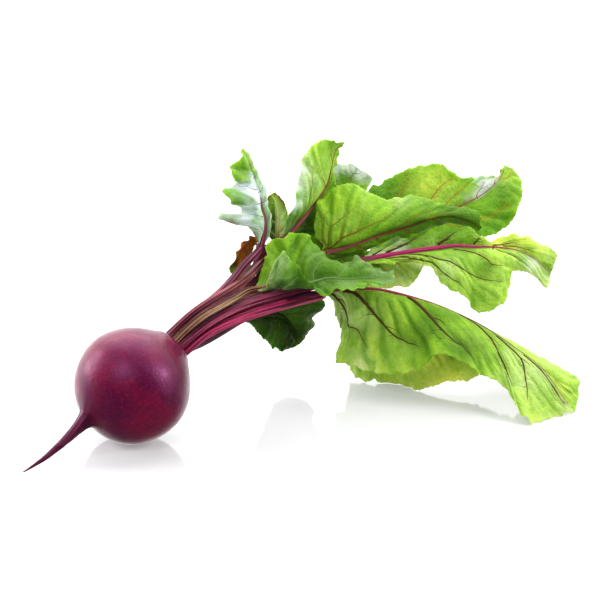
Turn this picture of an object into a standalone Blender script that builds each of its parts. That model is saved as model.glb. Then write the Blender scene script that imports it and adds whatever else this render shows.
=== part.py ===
"""A whole beetroot as pulled: root with its taproot, and twelve leaves on their stalks.

Lengths are in millimetres here and are scaled to metres where a mesh is made. The origin is the middle of
the small flat that the root rests on, +X runs along the bunch and +Z is up.
"""
import math

import bmesh
import bpy
import numpy as np

MM = 0.001

# Root
ROOT_SIDES = 44
# The root's axis from the crown through its middle to the tip of the taproot
ROOT_AXIS = [(25.8, 18.5, 54.9), (13.2, 9.7, 45.3), (0.0, 0.0, 35.6), (-12.9, -9.9, 28.6), (-25.2, -19.7, 22.6),
             (-32.5, -26.4, 17.6), (-40.0, -33.6, 12.2), (-48.0, -40.8, 7.2), (-56.0, -47.5, 3.4),
             (-63.0, -53.0, 0.9)]
CROWN_DIRECTION = (0.693, 0.498, 0.521)
# Length along the axis from the crown, and the radius there
ROOT_OUTLINE = [(0.0, 11.4), (1.0, 12.8), (2.8, 15.0), (5.4, 18.4), (8.6, 22.4), (13.0, 26.8), (18.6, 31.0),
                (24.8, 34.0), (31.2, 35.7), (37.2, 36.1), (43.6, 35.4), (50.0, 33.4), (56.0, 30.3),
                (61.6, 25.9), (66.0, 20.4), (69.0, 14.9), (70.8, 10.6), (72.4, 7.6), (74.6, 5.6), (78.4, 4.4),
                (84.0, 3.5), (92.0, 2.75), (101.5, 2.1), (109.5, 1.6), (117.0, 1.05), (122.5, 0.7),
                (126.0, 0.4)]
# The root is a little lumpy round its axis: how high the lumps are where it is widest, and then for each
# of two sets of lumps their number, their share of the height and their turn
LUMP_HEIGHT = 0.35
WIDEST_RADIUS = 36.0
LUMPS = [(3, 1.0, 0.7), (5, 0.7, 2.1)]
# Beyond this place along X the taproot is held up off the ground instead of cut by it
TAPROOT_START = -30.0

# Stalks
GAP = 0.35
FOOT_RISE = 7.0
STALK_SIDES = 6
STALK_TAPER = 1.5
STALK_SWELL = 0.5
STALK_POINTS = 40
POINTS_TO_A_RING = 4
NEAREST_RING = 2.0
# The stalks are pushed apart until they clear each other by this much
STALK_CLEARANCE = 0.45
SPREAD_ROUNDS = 320
PUSH_SHARE = 0.5
STRAIGHTEN_SHARE = 0.3
HELD_POINTS = 4.0

# Blades
BLADE_THICKNESS = 0.7
SLOT_GAP = 0.25
SLOT_SHARE = 0.72
RIB_END_RADIUS = 0.6
RIB_TIP_SHARE = 0.25
RIB_TAPER = 0.8
# A half is never narrower than this beyond the slot, and its arch and ruffle fade where it is narrow
LIP = 1.2
# A margin keeps its own place where its half is this many times the least width, and none of it at the first
OWN_LIPS = 4.5
NARROWEST_LIPS = 1.5
FULL_ARCH_WIDTH = 14.0
# The arch is highest a little before the middle of the length, and full over most of it
ARCH_LEAN = 0.8
ARCH_FULLNESS = 0.7
FULL_RUFFLE_WIDTH = 12.0
# The ruffle fades over these shares of the length at the blade's base and tip
RUFFLE_BASE_SHARE = 0.12
RUFFLE_TIP_SHARE = 0.08
RUFFLE_POWER = 2.5
RUFFLE_TURNS = {"left": 2.3, "right": 0.4}
# A second, quicker wave on the first: its share, its quickness and its turn
SECOND_WAVE = (0.3, 1.7, 1.1)

CURVE_FINENESS = 40

# The directions in which the stalks' feet are laid out on the crown, as turns from the crown's camera side
FOOT_ROW_TURN = math.radians(127)
FOOT_LAYER_TURN = math.radians(37)

# Colours, as linear red, green and blue
ROOT_COLOUR = (0.11, 0.008, 0.028)
PINK = (0.37, 0.035, 0.11)
PURPLE = (0.12, 0.012, 0.04)
TAN = (0.30, 0.12, 0.08)
OLIVE = (0.17, 0.22, 0.05)
BRIGHT_GREEN = (0.22, 0.46, 0.035)
MID_GREEN = (0.15, 0.35, 0.025)
DARK_GREEN = (0.032, 0.10, 0.006)
OLIVE_GREEN = (0.28, 0.44, 0.04)
YELLOW_GREEN = (0.50, 0.70, 0.09)
SILVER_GREEN = (0.36, 0.52, 0.25)
RUST = (0.19, 0.078, 0.012)
ROOT_ROUGHNESS = 0.38
STALK_ROUGHNESS = 0.42
BLADE_ROUGHNESS = 0.45

# Each leaf: the place of its stalk's foot on the crown, along the row and towards the camera, the radii of the
# stalk's foot and top, points that the stalk passes, and rows across the blade from base to tip. A row is the
# right margin, the midrib and the left margin, right and left as seen on the blade's upper side. arch is how
# far the right and left halves bulge to the upper side, and shoulder is how far out they do, as a share of the
# half's width. ruffle is the depth of the margin's waves and waves their number. steps is the number of
# stations to a row, and across the number of strips in each half.
LEAVES = {
    "sprawling": dict(
        foot=(-6.9, 2.8), radii=(2.6, 3.0), colour=BRIGHT_GREEN, stalk_colour=PINK, steps=3, across=5,
        arch=(0.0, -1.0), shoulder=0.16, ruffle=1.7, waves=5.5,
        stalk=[(41, 26, 62), (66, 43, 68), (91, 62, 68), (106, 76, 67)],
        rows=[((119, 82, 64), (119, 84, 66), (119, 88, 63)),
              ((126, 83, 53), (125, 85, 68), (128, 101, 50)),
              ((130, 85, 35), (135, 86, 69), (136, 104, 10)),
              ((127, 85, 19), (146, 86, 68), (141, 98, 2)),
              ((137, 82, 16), (156, 86, 67), (155, 92, 1)),
              ((158, 67, 17), (167, 85, 65), (172, 86, -2)),
              ((178, 56, 24), (179, 84, 62), (186, 80, 2)),
              ((192, 52, 36), (193, 82, 58), (200, 78, 7)),
              ((219, 48, 24), (208, 80, 52), (217, 80, 9)),
              ((233, 40, 19), (224, 75, 45), (236, 98, 24)),
              ((246, 24, 1), (240, 67, 36), (256, 90, 22)),
              ((263, 32, 1), (257, 56, 26), (275, 72, 17)),
              ((273, 36, 2), (270, 45, 11), (282, 54, 14)),
              ((277, 37, 1), (277, 38, 2), (278, 39, 2))]),
    "centre": dict(
        foot=(2.6, 1.4), radii=(2.2, 2.1), colour=MID_GREEN, stalk_colour=PINK, steps=2, across=5,
        arch=(2.0, 4.0), shoulder=0.42, ruffle=1.4, waves=5.5,
        stalk=[(41, 29, 69), (66, 52, 73), (91, 79, 70), (107, 95, 79)],
        rows=[((120, 104, 83), (118, 104, 86), (115, 105, 87)),
              ((126, 113, 82), (124, 106, 87), (113, 107, 98)),
              ((135, 124, 83), (133, 107, 89), (116, 112, 120)),
              ((146, 132, 83), (143, 108, 92), (131, 118, 129)),
              ((156, 136, 86), (154, 110, 96), (148, 122, 123)),
              ((168, 138, 89), (166, 112, 99), (163, 122, 117)),
              ((180, 138, 93), (178, 114, 102), (182, 124, 119)),
              ((192, 136, 97), (189, 115, 106), (198, 121, 112)),
              ((203, 132, 100), (201, 116, 107), (210, 121, 113)),
              ((215, 126, 97), (212, 117, 104), (220, 120, 106)),
              ((222, 119, 96), (221, 118, 98), (222, 118, 100))]),
    "right": dict(
        foot=(-2.7, 6.0), radii=(2.4, 2.7), colour=MID_GREEN, stalk_colour=PINK, steps=2, across=5,
        arch=(4.0, 2.0), shoulder=0.42, ruffle=1.5, waves=5.5,
        stalk=[(42, 25, 66), (66, 46, 71), (91, 66, 71), (114, 80, 71), (132, 91, 78)],
        rows=[((147, 96, 82), (146, 97, 84), (146, 99, 86)),
              ((162, 94, 84), (156, 98, 86), (148, 107, 88)),
              ((178, 93, 86), (169, 99, 88), (162, 111, 91)),
              ((188, 90, 82), (183, 100, 90), (178, 112, 97)),
              ((194, 86, 72), (193, 101, 91), (192, 112, 100)),
              ((208, 82, 65), (204, 102, 92), (204, 112, 102)),
              ((218, 80, 54), (216, 103, 91), (213, 111, 100)),
              ((234, 82, 60), (226, 103, 91), (223, 108, 92)),
              ((239, 88, 73), (235, 104, 90), (233, 110, 95)),
              ((242, 94, 78), (245, 104, 88), (248, 110, 96)),
              ((254, 98, 73), (255, 104, 83), (260, 110, 91)),
              ((263, 100, 64), (263, 104, 76), (270, 108, 84)),
              ((267, 102, 70), (267, 103, 74), (268, 104, 77))]),
    "far": dict(
        foot=(-2.4, -3.4), radii=(2.1, 1.9), colour=OLIVE_GREEN, stalk_colour=TAN, steps=2, across=5,
        arch=(4.0, 4.0), shoulder=0.42, ruffle=1.5, waves=5.0,
        stalk=[(41, 36, 64), (65, 68, 69), (94, 106, 75)],
        rows=[((127, 134, 83), (126, 134, 85), (125, 134, 88)),
              ((138, 142, 82), (137, 147, 85), (134, 156, 90)),
              ((154, 148, 82), (150, 155, 86), (144, 168, 104)),
              ((172, 150, 81), (166, 160, 89), (160, 172, 114)),
              ((189, 151, 81), (183, 164, 91), (177, 174, 122)),
              ((206, 151, 79), (198, 167, 94), (197, 176, 125)),
              ((221, 150, 81), (211, 171, 97), (210, 178, 115)),
              ((235, 150, 85), (223, 174, 102), (221, 181, 115)),
              ((248, 155, 97), (233, 176, 109), (231, 182, 114)),
              ((252, 164, 113), (239, 178, 116), (240, 182, 117)),
              ((246, 174, 123), (242, 178, 123), (241, 180, 121))]),
    "tall": dict(
        foot=(6.6, 4.6), radii=(2.3, 2.0), colour=BRIGHT_GREEN, stalk_colour=PINK, steps=2, across=5,
        arch=(-3.0, 3.0), shoulder=0.42, ruffle=1.2, waves=4.0,
        stalk=[(42, 27, 75), (64, 54, 81), (78, 84, 85)],
        rows=[((95, 96, 98), (93, 96, 99), (91, 97, 100)),
              ((107, 107, 92), (99, 101, 103), (94, 98, 109)),
              ((117, 120, 92), (106, 106, 110), (100, 98, 122)),
              ((121, 128, 108), (112, 111, 116), (102, 98, 134)),
              ((126, 132, 119), (118, 116, 123), (104, 100, 146)),
              ((126, 131, 129), (122, 119, 130), (106, 102, 152)),
              ((127, 128, 139), (124, 119, 140), (111, 106, 158)),
              ((129, 122, 150), (126, 117, 150), (120, 110, 161)),
              ((132, 116, 157), (130, 114, 158), (129, 113, 159))]),
    "curled": dict(
        foot=(7.0, -0.4), radii=(2.2, 2.0), colour=SILVER_GREEN, stalk_colour=PURPLE, steps=2, across=5,
        arch=(-3.0, -3.0), shoulder=0.42, ruffle=0.8, waves=6.0,
        stalk=[(41, 34, 71), (55, 48, 78), (64, 60, 85), (71, 69, 94)],
        rows=[((77, 75, 104), (79, 77, 102), (82, 78, 102)),
              ((70, 72, 115), (81, 79, 110), (84, 84, 109)),
              ((53, 68, 122), (81, 81, 117), (83, 88, 115)),
              ((65, 77, 125), (79, 83, 124), (82, 89, 122)),
              ((59, 69, 133), (78, 84, 130), (82, 90, 128)),
              ((55, 69, 142), (76, 85, 136), (81, 91, 133)),
              ((64, 79, 144), (74, 86, 142), (78, 92, 139)),
              ((60, 74, 152), (72, 86, 148), (76, 92, 145)),
              ((65, 77, 159), (70, 86, 154), (72, 90, 153)),
              ((66, 82, 164), (67, 84, 162), (68, 86, 162))]),
    "draped": dict(
        foot=(1.9, 6.2), radii=(2.2, 1.9), colour=MID_GREEN, stalk_colour=OLIVE, steps=2, across=5,
        arch=(-2.0, 6.0), shoulder=0.42, ruffle=1.5, waves=6.5,
        stalk=[(42, 25, 73), (63, 45, 76)],
        rows=[((76, 62, 77), (76, 64, 76), (75, 66, 77)),
              ((85, 59, 90), (83, 66, 77), (81, 71, 91)),
              ((92, 57, 103), (90, 65, 78), (82, 75, 101)),
              ((98, 57, 98), (97, 64, 78), (93, 80, 106)),
              ((104, 56, 91), (104, 64, 79), (106, 85, 106)),
              ((112, 55, 79), (112, 66, 80), (114, 87, 98)),
              ((121, 54, 76), (122, 68, 82), (120, 86, 90)),
              ((133, 57, 79), (133, 71, 80), (132, 86, 86)),
              ((147, 62, 78), (146, 74, 80), (142, 88, 89)),
              ((157, 69, 77), (157, 77, 79), (155, 84, 80)),
              ((164, 74, 76), (164, 79, 79), (164, 83, 83))]),
    "under": dict(
        foot=(-7.0, -2.6), radii=(2.3, 1.8), colour=DARK_GREEN, stalk_colour=PURPLE, steps=3, across=4,
        arch=(4.0, 5.0), shoulder=0.42, ruffle=1.4, waves=4.0,
        stalk=[(41, 35, 50), (60, 61, 52)],
        rows=[((70, 76, 49), (70, 77, 51), (71, 78, 53)),
              ((76, 88, 38), (80, 89, 49), (93, 97, 55)),
              ((81, 97, 28), (90, 99, 45), (118, 110, 52)),
              ((86, 104, 20), (97, 106, 36), (113, 117, 37)),
              ((91, 108, 17), (101, 111, 25), (110, 120, 26)),
              ((100, 112, 17), (102, 113, 19), (104, 115, 21))]),
    "yellow": dict(
        foot=(-2.0, 1.2), radii=(2.1, 1.7), colour=YELLOW_GREEN, stalk_colour=TAN, steps=3, across=4,
        arch=(3.0, 3.0), shoulder=0.42, ruffle=1.2, waves=4.0,
        stalk=[(41, 30, 66), (66, 60, 67), (97, 92, 65)],
        rows=[((125, 108, 70), (124, 109, 72), (122, 112, 76)),
              ((134, 104, 64), (134, 112, 74), (131, 122, 79)),
              ((149, 104, 60), (147, 117, 74), (146, 129, 79)),
              ((164, 106, 62), (160, 122, 74), (162, 130, 77)),
              ((176, 112, 61), (172, 127, 73), (174, 133, 75)),
              ((185, 122, 70), (184, 130, 71), (186, 134, 73)),
              ((191, 131, 71), (190, 132, 71), (190, 133, 72))]),
    "rear": dict(
        foot=(1.2, -7.2), radii=(2.0, 1.7), colour=BRIGHT_GREEN, stalk_colour=TAN, steps=3, across=4,
        arch=(3.0, 3.0), shoulder=0.42, ruffle=1.2, waves=3.5,
        stalk=[(41, 46, 62), (65, 80, 67), (88, 110, 72), (102, 128, 82)],
        rows=[((112, 138, 89), (110, 138, 89), (108, 138, 91)),
              ((123, 143, 95), (117, 145, 100), (109, 145, 108)),
              ((137, 149, 102), (125, 152, 108), (114, 150, 120)),
              ((146, 152, 111), (133, 156, 116), (119, 154, 130)),
              ((151, 155, 121), (139, 158, 123), (129, 156, 131)),
              ((145, 159, 127), (142, 160, 127), (138, 160, 130))]),
    "small": dict(
        foot=(3.2, -3.2), radii=(1.9, 1.5), colour=DARK_GREEN, stalk_colour=TAN, steps=3, across=4,
        arch=(2.0, 2.0), shoulder=0.42, ruffle=0.9, waves=3.0,
        stalk=[(41, 43, 64), (64, 70, 74), (74, 83, 81), (80, 93, 84)],
        rows=[((91, 99, 95), (89, 98, 95), (87, 97, 96)),
              ((94, 102, 103), (89, 100, 103), (82, 97, 103)),
              ((96, 103, 112), (89, 101, 112), (80, 97, 114)),
              ((93, 102, 121), (88, 100, 122), (80, 97, 122)),
              ((88, 99, 127), (85, 98, 128), (83, 97, 127))]),
    "withered": dict(
        foot=(6.6, -5.4), radii=(1.8, 1.4), colour=RUST, stalk_colour=TAN, steps=3, across=3,
        arch=(2.0, 2.0), shoulder=0.42, ruffle=1.2, waves=3.5,
        stalk=[(41, 45, 67), (56, 66, 69)],
        rows=[((69, 86, 71), (71, 86, 71), (72, 86, 72)),
              ((62, 89, 76), (67, 94, 78), (72, 96, 80)),
              ((62, 92, 84), (67, 99, 85), (73, 103, 87)),
              ((65, 96, 92), (70, 102, 92), (75, 105, 93)),
              ((71, 100, 99), (73, 103, 98), (76, 104, 98))]),
}


def smooth_curve(points, places):
    """The Catmull-Rom curve through points, read at places counted in points."""
    points = np.asarray(points, float)
    padded = np.concatenate([[2 * points[0] - points[1]], points, [2 * points[-1] - points[-2]]])
    out = []
    for place in places:
        i = min(int(place), len(points) - 2)
        f = place - i
        a, b, c, d = padded[i:i + 4]
        out.append(0.5 * (2 * b + (c - a) * f + (2 * a - 5 * b + 4 * c - d) * f ** 2
                          + (3 * b - a - 3 * c + d) * f ** 3))
    return np.array(out)


def even_curve(points, count):
    """The same curve as count points an equal way apart."""
    dense = smooth_curve(points, np.linspace(0, len(points) - 1, CURVE_FINENESS * len(points)))
    way = np.concatenate([[0], np.cumsum(np.linalg.norm(np.diff(dense, axis=0), axis=1))])
    wanted = np.linspace(0, way[-1], count)
    return np.column_stack([np.interp(wanted, way, dense[:, k]) for k in range(3)])


def unit(vectors):
    vectors = np.asarray(vectors, float)
    return vectors / np.maximum(np.linalg.norm(vectors, axis=-1, keepdims=True), 1e-9)


def rings_mesh(rings):
    """Points and triangles of a closed tube through rings of equal count, capped with a fan at each end."""
    rings = np.asarray(rings)
    count, sides = rings.shape[:2]
    points = np.concatenate([rings.reshape(-1, 3), [rings[0].mean(axis=0)], [rings[-1].mean(axis=0)]])
    faces = []
    for i in range(count - 1):
        for k in range(sides):
            a, b = i * sides + k, i * sides + (k + 1) % sides
            faces += [(a, b, b + sides), (a, b + sides, a + sides)]
    start, end = count * sides, count * sides + 1
    for k in range(sides):
        following = (k + 1) % sides
        faces.append((start, following, k))
        faces.append((end, (count - 1) * sides + k, (count - 1) * sides + following))
    return points, faces


def add_object(name, points, faces, colour, roughness):
    """One closed mesh object with its own material, its faces turned outwards and shaded smooth."""
    mesh = bpy.data.meshes.new(name)
    mesh.from_pydata([tuple(p) for p in np.asarray(points) * MM], [], [tuple(map(int, f)) for f in faces])
    shape = bmesh.new()
    shape.from_mesh(mesh)
    bmesh.ops.recalc_face_normals(shape, faces=shape.faces)
    for face in shape.faces:
        face.smooth = True
    shape.to_mesh(mesh)
    shape.free()
    material = bpy.data.materials.new(name)
    material.use_nodes = True
    skin = material.node_tree.nodes["Principled BSDF"]
    skin.inputs["Base Color"].default_value = (*colour, 1.0)
    skin.inputs["Roughness"].default_value = roughness
    skin.inputs["Metallic"].default_value = 0.0
    material.diffuse_color = (*colour, 1.0)
    mesh.materials.append(material)
    made = bpy.data.objects.new(name, mesh)
    bpy.context.scene.collection.objects.link(made)
    return made


def crown_frame():
    """The crown's middle and its outward, camera-side and upper directions."""
    outward = unit(np.array(CROWN_DIRECTION))
    upper = unit(np.array((0.0, 0.0, 1.0)) - outward[2] * outward)
    return np.array(ROOT_AXIS[0]), outward, np.cross(outward, upper), upper


def root_rings():
    """Rings from the crown over the root's widest place and down the taproot to its tip."""
    _, outward, side, _ = crown_frame()
    dense = smooth_curve(ROOT_AXIS, np.linspace(0, len(ROOT_AXIS) - 1, CURVE_FINENESS * len(ROOT_AXIS)))
    way = np.concatenate([[0], np.cumsum(np.linalg.norm(np.diff(dense, axis=0), axis=1))])
    lengths = [length for length, _ in ROOT_OUTLINE]
    centres = np.column_stack([np.interp(lengths, way, dense[:, k]) for k in range(3)])
    along = unit(np.gradient(centres, axis=0))
    along[:2] = -outward
    angles = np.linspace(0, 2 * math.pi, ROOT_SIDES, endpoint=False)
    rings = []
    for centre, (_, radius), direction in zip(centres, ROOT_OUTLINE, along):
        across = unit(side - np.dot(side, direction) * direction)
        over = np.cross(across, direction)
        waves = sum(part * np.sin(count * angles + turn) for count, part, turn in LUMPS)
        lumps = LUMP_HEIGHT * radius / WIDEST_RADIUS * waves
        reach = (radius + lumps)[:, None]
        rings.append(centre + reach * (np.cos(angles)[:, None] * across + np.sin(angles)[:, None] * over))
    return rings


def make_root():
    """The root and taproot, cut flat where it rests."""
    points, faces = rings_mesh(root_rings())
    taproot = points[:, 0] < TAPROOT_START
    points[taproot, 2] = np.maximum(points[taproot, 2], 0.0)
    root = add_object("root", points, faces, ROOT_COLOUR, ROOT_ROUGHNESS)
    shape = bmesh.new()
    shape.from_mesh(root.data)
    whole = shape.verts[:] + shape.edges[:] + shape.faces[:]
    bmesh.ops.bisect_plane(shape, geom=whole, dist=1e-6, plane_co=(0, 0, 0), plane_no=(0, 0, 1),
                           clear_inner=True)
    bmesh.ops.holes_fill(shape, edges=[edge for edge in shape.edges if edge.is_boundary], sides=0)
    bmesh.ops.recalc_face_normals(shape, faces=shape.faces)
    shape.to_mesh(root.data)
    shape.free()


def foot_of(leaf):
    """Where a leaf's stalk stands on the crown, and the crown's outward direction."""
    crown, outward, side, upper = crown_frame()
    row = side * math.cos(FOOT_ROW_TURN) + upper * math.sin(FOOT_ROW_TURN)
    layer = side * math.cos(FOOT_LAYER_TURN) + upper * math.sin(FOOT_LAYER_TURN)
    along_row, towards_camera = leaf["foot"]
    return crown + outward * GAP + row * along_row + layer * towards_camera, outward


def stalk_path(leaf):
    """The stalk's middle from its foot to the blade, through the leaf's own points."""
    foot, outward = foot_of(leaf)
    ribs = [row[1] for row in leaf["rows"]]
    start = [foot, foot + outward * FOOT_RISE]
    blade_foot = np.array(ribs[0], float)
    before = blade_foot - unit(np.subtract(ribs[1], ribs[0])) * FOOT_RISE
    points = start + [np.array(p, float) for p in leaf["stalk"]] + [before, blade_foot]
    return even_curve(points, STALK_POINTS)


def stalk_radius(leaf, share):
    """The stalk's radius at a share of its way up, a little swollen midway."""
    foot, top = leaf["radii"]
    return top + (foot - top) * (1 - share) ** STALK_TAPER + STALK_SWELL * np.sin(math.pi * share)


def spread_stalks(paths, radii):
    """The stalks' middles moved aside until the stalks clear each other, with their ends held."""
    names = list(paths)
    drawn = np.array([paths[name] for name in names])
    moved = np.zeros_like(drawn)
    reach = np.array([radii[name] for name in names])
    order = np.arange(STALK_POINTS)
    free = np.clip(np.minimum(order - 1, order[::-1]) / HELD_POINTS, 0, 1)[None, :, None]
    owner = np.repeat(np.arange(len(names)), STALK_POINTS)
    for _ in range(SPREAD_ROUNDS):
        flat = (drawn + moved).reshape(-1, 3)
        apart = flat[:, None, :] - flat[None, :, :]
        distance = np.linalg.norm(apart, axis=2) + 1e-6
        wanted = reach.reshape(-1)[:, None] + reach.reshape(-1)[None, :] + STALK_CLEARANCE
        short = np.clip(wanted - distance, 0, None)
        short[owner[:, None] == owner[None, :]] = 0
        push = (apart / distance[:, :, None] * short[:, :, None]).sum(axis=1)
        count = np.maximum((short > 0).sum(axis=1), 1)[:, None]
        moved = moved + free * PUSH_SHARE * (push / count).reshape(moved.shape)
        bend = np.zeros_like(moved)
        bend[:, 1:-1] = (moved[:, :-2] + moved[:, 2:]) / 2 - moved[:, 1:-1]
        moved = moved + free * STRAIGHTEN_SHARE * bend
    return dict(zip(names, drawn + moved))


def blade_places(leaf):
    return np.linspace(0, len(leaf["rows"]) - 1, (len(leaf["rows"]) - 1) * leaf["steps"] + 1)


def rib_of(leaf, places):
    """The midrib's middle, its radius, and the number of stations that it runs beside the blade's slot."""
    middle = smooth_curve([row[1] for row in leaf["rows"]], places)
    share = places / places[-1]
    top = leaf["radii"][1]
    radius = top + (RIB_END_RADIUS - top) * np.clip(share / SLOT_SHARE, 0, 1) ** RIB_TAPER
    return middle, radius, int(np.sum(share <= SLOT_SHARE))


def blade_frame(leaf, places):
    """The midrib's middle, its direction, the leftward side and both margins at each station."""
    middle, _, _ = rib_of(leaf, places)
    right = smooth_curve([row[0] for row in leaf["rows"]], places)
    left = smooth_curve([row[2] for row in leaf["rows"]], places)
    along = unit(np.gradient(middle, axis=0))
    rows = np.array(leaf["rows"], float)
    across = unit(unit(rows[:, 2] - rows[:, 1]) - unit(rows[:, 0] - rows[:, 1]))
    across[0], across[-1] = across[1], across[-2]
    side = smooth_curve(across, places)
    side = unit(side - np.sum(side * along, axis=1)[:, None] * along)
    return middle, along, side, right, left


def eased_margin(margin, middle, outwards, least):
    """The margin, moved straight out beside the midrib where the half is narrow, and the half's width."""
    width = np.linalg.norm(margin - middle, axis=1)
    own = np.clip((width / least - NARROWEST_LIPS) / (OWN_LIPS - NARROWEST_LIPS), 0, 1)[:, None]
    width = np.maximum(width, least)
    return margin * own + (middle + outwards * width[:, None]) * (1 - own), width


def ruffle_of(leaf, hand, share, width):
    """How far the margin stands off its own sheet at each station."""
    fade = np.minimum(share / RUFFLE_BASE_SHARE, (1 - share) / RUFFLE_TIP_SHARE)
    depth = leaf["ruffle"] * np.clip(fade, 0, 1) * np.clip(width / FULL_RUFFLE_WIDTH, 0, 1)
    phase = 2 * math.pi * leaf["waves"] * share + RUFFLE_TURNS[hand]
    part, quickness, turn = SECOND_WAVE
    return depth * (np.sin(phase) + part * np.sin(quickness * phase + turn))


def arch_of(leaf, hand, share, width):
    """How far each station's section is pulled to the blade's upper side, most in the middle of the length."""
    height = leaf["arch"][0 if hand == "right" else 1] * np.sin(math.pi * share ** ARCH_LEAN) ** ARCH_FULLNESS
    return 2 * height * np.clip(width / FULL_ARCH_WIDTH, 0, 1)


def half_blade(leaf, places, hand):
    """Middle surface of one half from the slot or the midrib to the margin: stations by strips across."""
    middle, along, side, right, left = blade_frame(leaf, places)
    _, radius, slot = rib_of(leaf, places)
    turn = 1 if hand == "left" else -1
    outwards = side * turn
    upper = np.cross(along, side)
    share = places / places[-1]
    start = np.where(np.arange(len(places)) < slot, radius + SLOT_GAP, 0.0)
    margin, width = eased_margin(left if hand == "left" else right, middle, outwards, start + LIP)
    arch = arch_of(leaf, hand, share, width - start)
    wave = ruffle_of(leaf, hand, share, width)
    inner = middle + outwards * start[:, None]
    shoulder = inner + outwards * (leaf["shoulder"] * (width - start))[:, None] + upper * arch[:, None]
    surface = []
    for k in range(leaf["across"] + 1):
        v = k / leaf["across"]
        point = inner * (1 - v) ** 2 + shoulder * 2 * v * (1 - v) + margin * v ** 2
        slope = (shoulder - inner) * (1 - v) + (margin - shoulder) * v
        normal = unit(np.cross(along, slope)) * turn
        surface.append(point + normal * (wave * v ** RUFFLE_POWER)[:, None])
    surface = np.array(surface).transpose(1, 0, 2)
    surface[:, :, 2] = np.maximum(surface[:, :, 2], BLADE_THICKNESS / 2)
    return surface


def blade_sheet(leaf):
    """Points and triangles of the blade's middle surface, open along the slot where the midrib lies."""
    places = blade_places(leaf)
    _, _, slot = rib_of(leaf, places)
    steps = leaf["across"]
    left = half_blade(leaf, places, "left")
    right = half_blade(leaf, places, "right")
    count = len(places)
    left_index = np.arange(count * (steps + 1)).reshape(count, steps + 1)
    right_index = left_index + count * (steps + 1)
    right_index[slot:, 0] = left_index[slot:, 0]
    points = np.concatenate([left.reshape(-1, 3), right.reshape(-1, 3)])
    faces = []
    for index, turned in ((left_index, False), (right_index, True)):
        for i in range(1, count - 1):
            for k in range(steps):
                a, b, c, d = index[i, k], index[i + 1, k], index[i + 1, k + 1], index[i, k + 1]
                for face in ((a, b, c), (a, c, d)):
                    faces.append(face[::-1] if turned else face)
    used = np.unique(np.array(faces))
    place = {old: new for new, old in enumerate(used)}
    return points[used], np.array([[place[i] for i in face] for face in faces])


def thickened(points, faces, thickness):
    """A closed solid of even thickness round a sheet, split into triangles alike on both faces."""
    flat = np.cross(points[faces[:, 1]] - points[faces[:, 0]], points[faces[:, 2]] - points[faces[:, 0]])
    normals = np.zeros_like(points)
    for k in range(3):
        np.add.at(normals, faces[:, k], flat)
    normals = unit(normals)
    count = len(points)
    edges = np.concatenate([faces[:, [0, 1]], faces[:, [1, 2]], faces[:, [2, 0]]])
    known = {tuple(edge) for edge in edges}
    rim = [(a, b) for a, b in known if (b, a) not in known]
    upper = points + normals * thickness / 2
    lower = points - normals * thickness / 2
    walls = []
    for a, b in sorted(rim):
        walls += [(b, a, a + count), (b, a + count, b + count)]
    return np.concatenate([upper, lower]), np.concatenate([faces, faces[:, ::-1] + count, np.array(walls)])


def stalk_rings(leaf, path):
    """Rings from the foot, up the stalk and along the midrib to its end."""
    places = blade_places(leaf)
    middle, rib_along, rib_side, _, _ = blade_frame(leaf, places)
    _, radius, slot = rib_of(leaf, places)
    stalk = path[:-1:POINTS_TO_A_RING]
    if np.linalg.norm(stalk[-1] - middle[0]) < NEAREST_RING:
        stalk = stalk[:-1]
    line = np.concatenate([stalk, middle[:slot]])
    share = np.linspace(0, 1, len(stalk) + 1)[:-1]
    reach = np.concatenate([stalk_radius(leaf, share), radius[:slot]])
    _, outward = foot_of(leaf)
    along = unit(np.gradient(line, axis=0))
    along[0] = outward
    along[len(stalk):] = rib_along[:slot]
    sides = list(rib_side[:slot])
    for direction in along[:len(stalk)][::-1]:
        side = sides[0] - np.dot(sides[0], direction) * direction
        sides.insert(0, unit(side))
    angles = np.linspace(0, 2 * math.pi, STALK_SIDES, endpoint=False)
    rings = []
    for centre, size, side, direction in zip(line, reach, sides, along):
        upper = np.cross(direction, side)
        rings.append(centre + size * (np.cos(angles)[:, None] * side + np.sin(angles)[:, None] * upper))
    last_step = (middle[slot] - middle[slot - 1]) / 2
    rings.append(middle[slot - 1] + last_step + (rings[-1] - middle[slot - 1]) * RIB_TIP_SHARE)
    return rings


def make_leaves():
    """Every leaf as a stalk that runs on as the midrib, and a blade on both sides of it."""
    radii = {}
    for name, leaf in LEAVES.items():
        radii[name] = stalk_radius(leaf, np.linspace(0, 1, STALK_POINTS))
    paths = spread_stalks({name: stalk_path(leaf) for name, leaf in LEAVES.items()}, radii)
    for name, leaf in LEAVES.items():
        points, faces = rings_mesh(stalk_rings(leaf, paths[name]))
        add_object(f"leaf_{name}_stalk", points, faces, leaf["stalk_colour"], STALK_ROUGHNESS)
        points, faces = thickened(*blade_sheet(leaf), BLADE_THICKNESS)
        add_object(f"leaf_{name}_blade", points, faces, leaf["colour"], BLADE_ROUGHNESS)


def main():
    for old in list(bpy.data.objects):
        bpy.data.objects.remove(old)
    make_root()
    make_leaves()


main()
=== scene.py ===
"""The looks of a whole beetroot: fine root, ribbed stalks, veined leaves, a pale floor and soft light."""
import math

import bpy
import numpy as np
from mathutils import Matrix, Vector, kdtree


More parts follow.
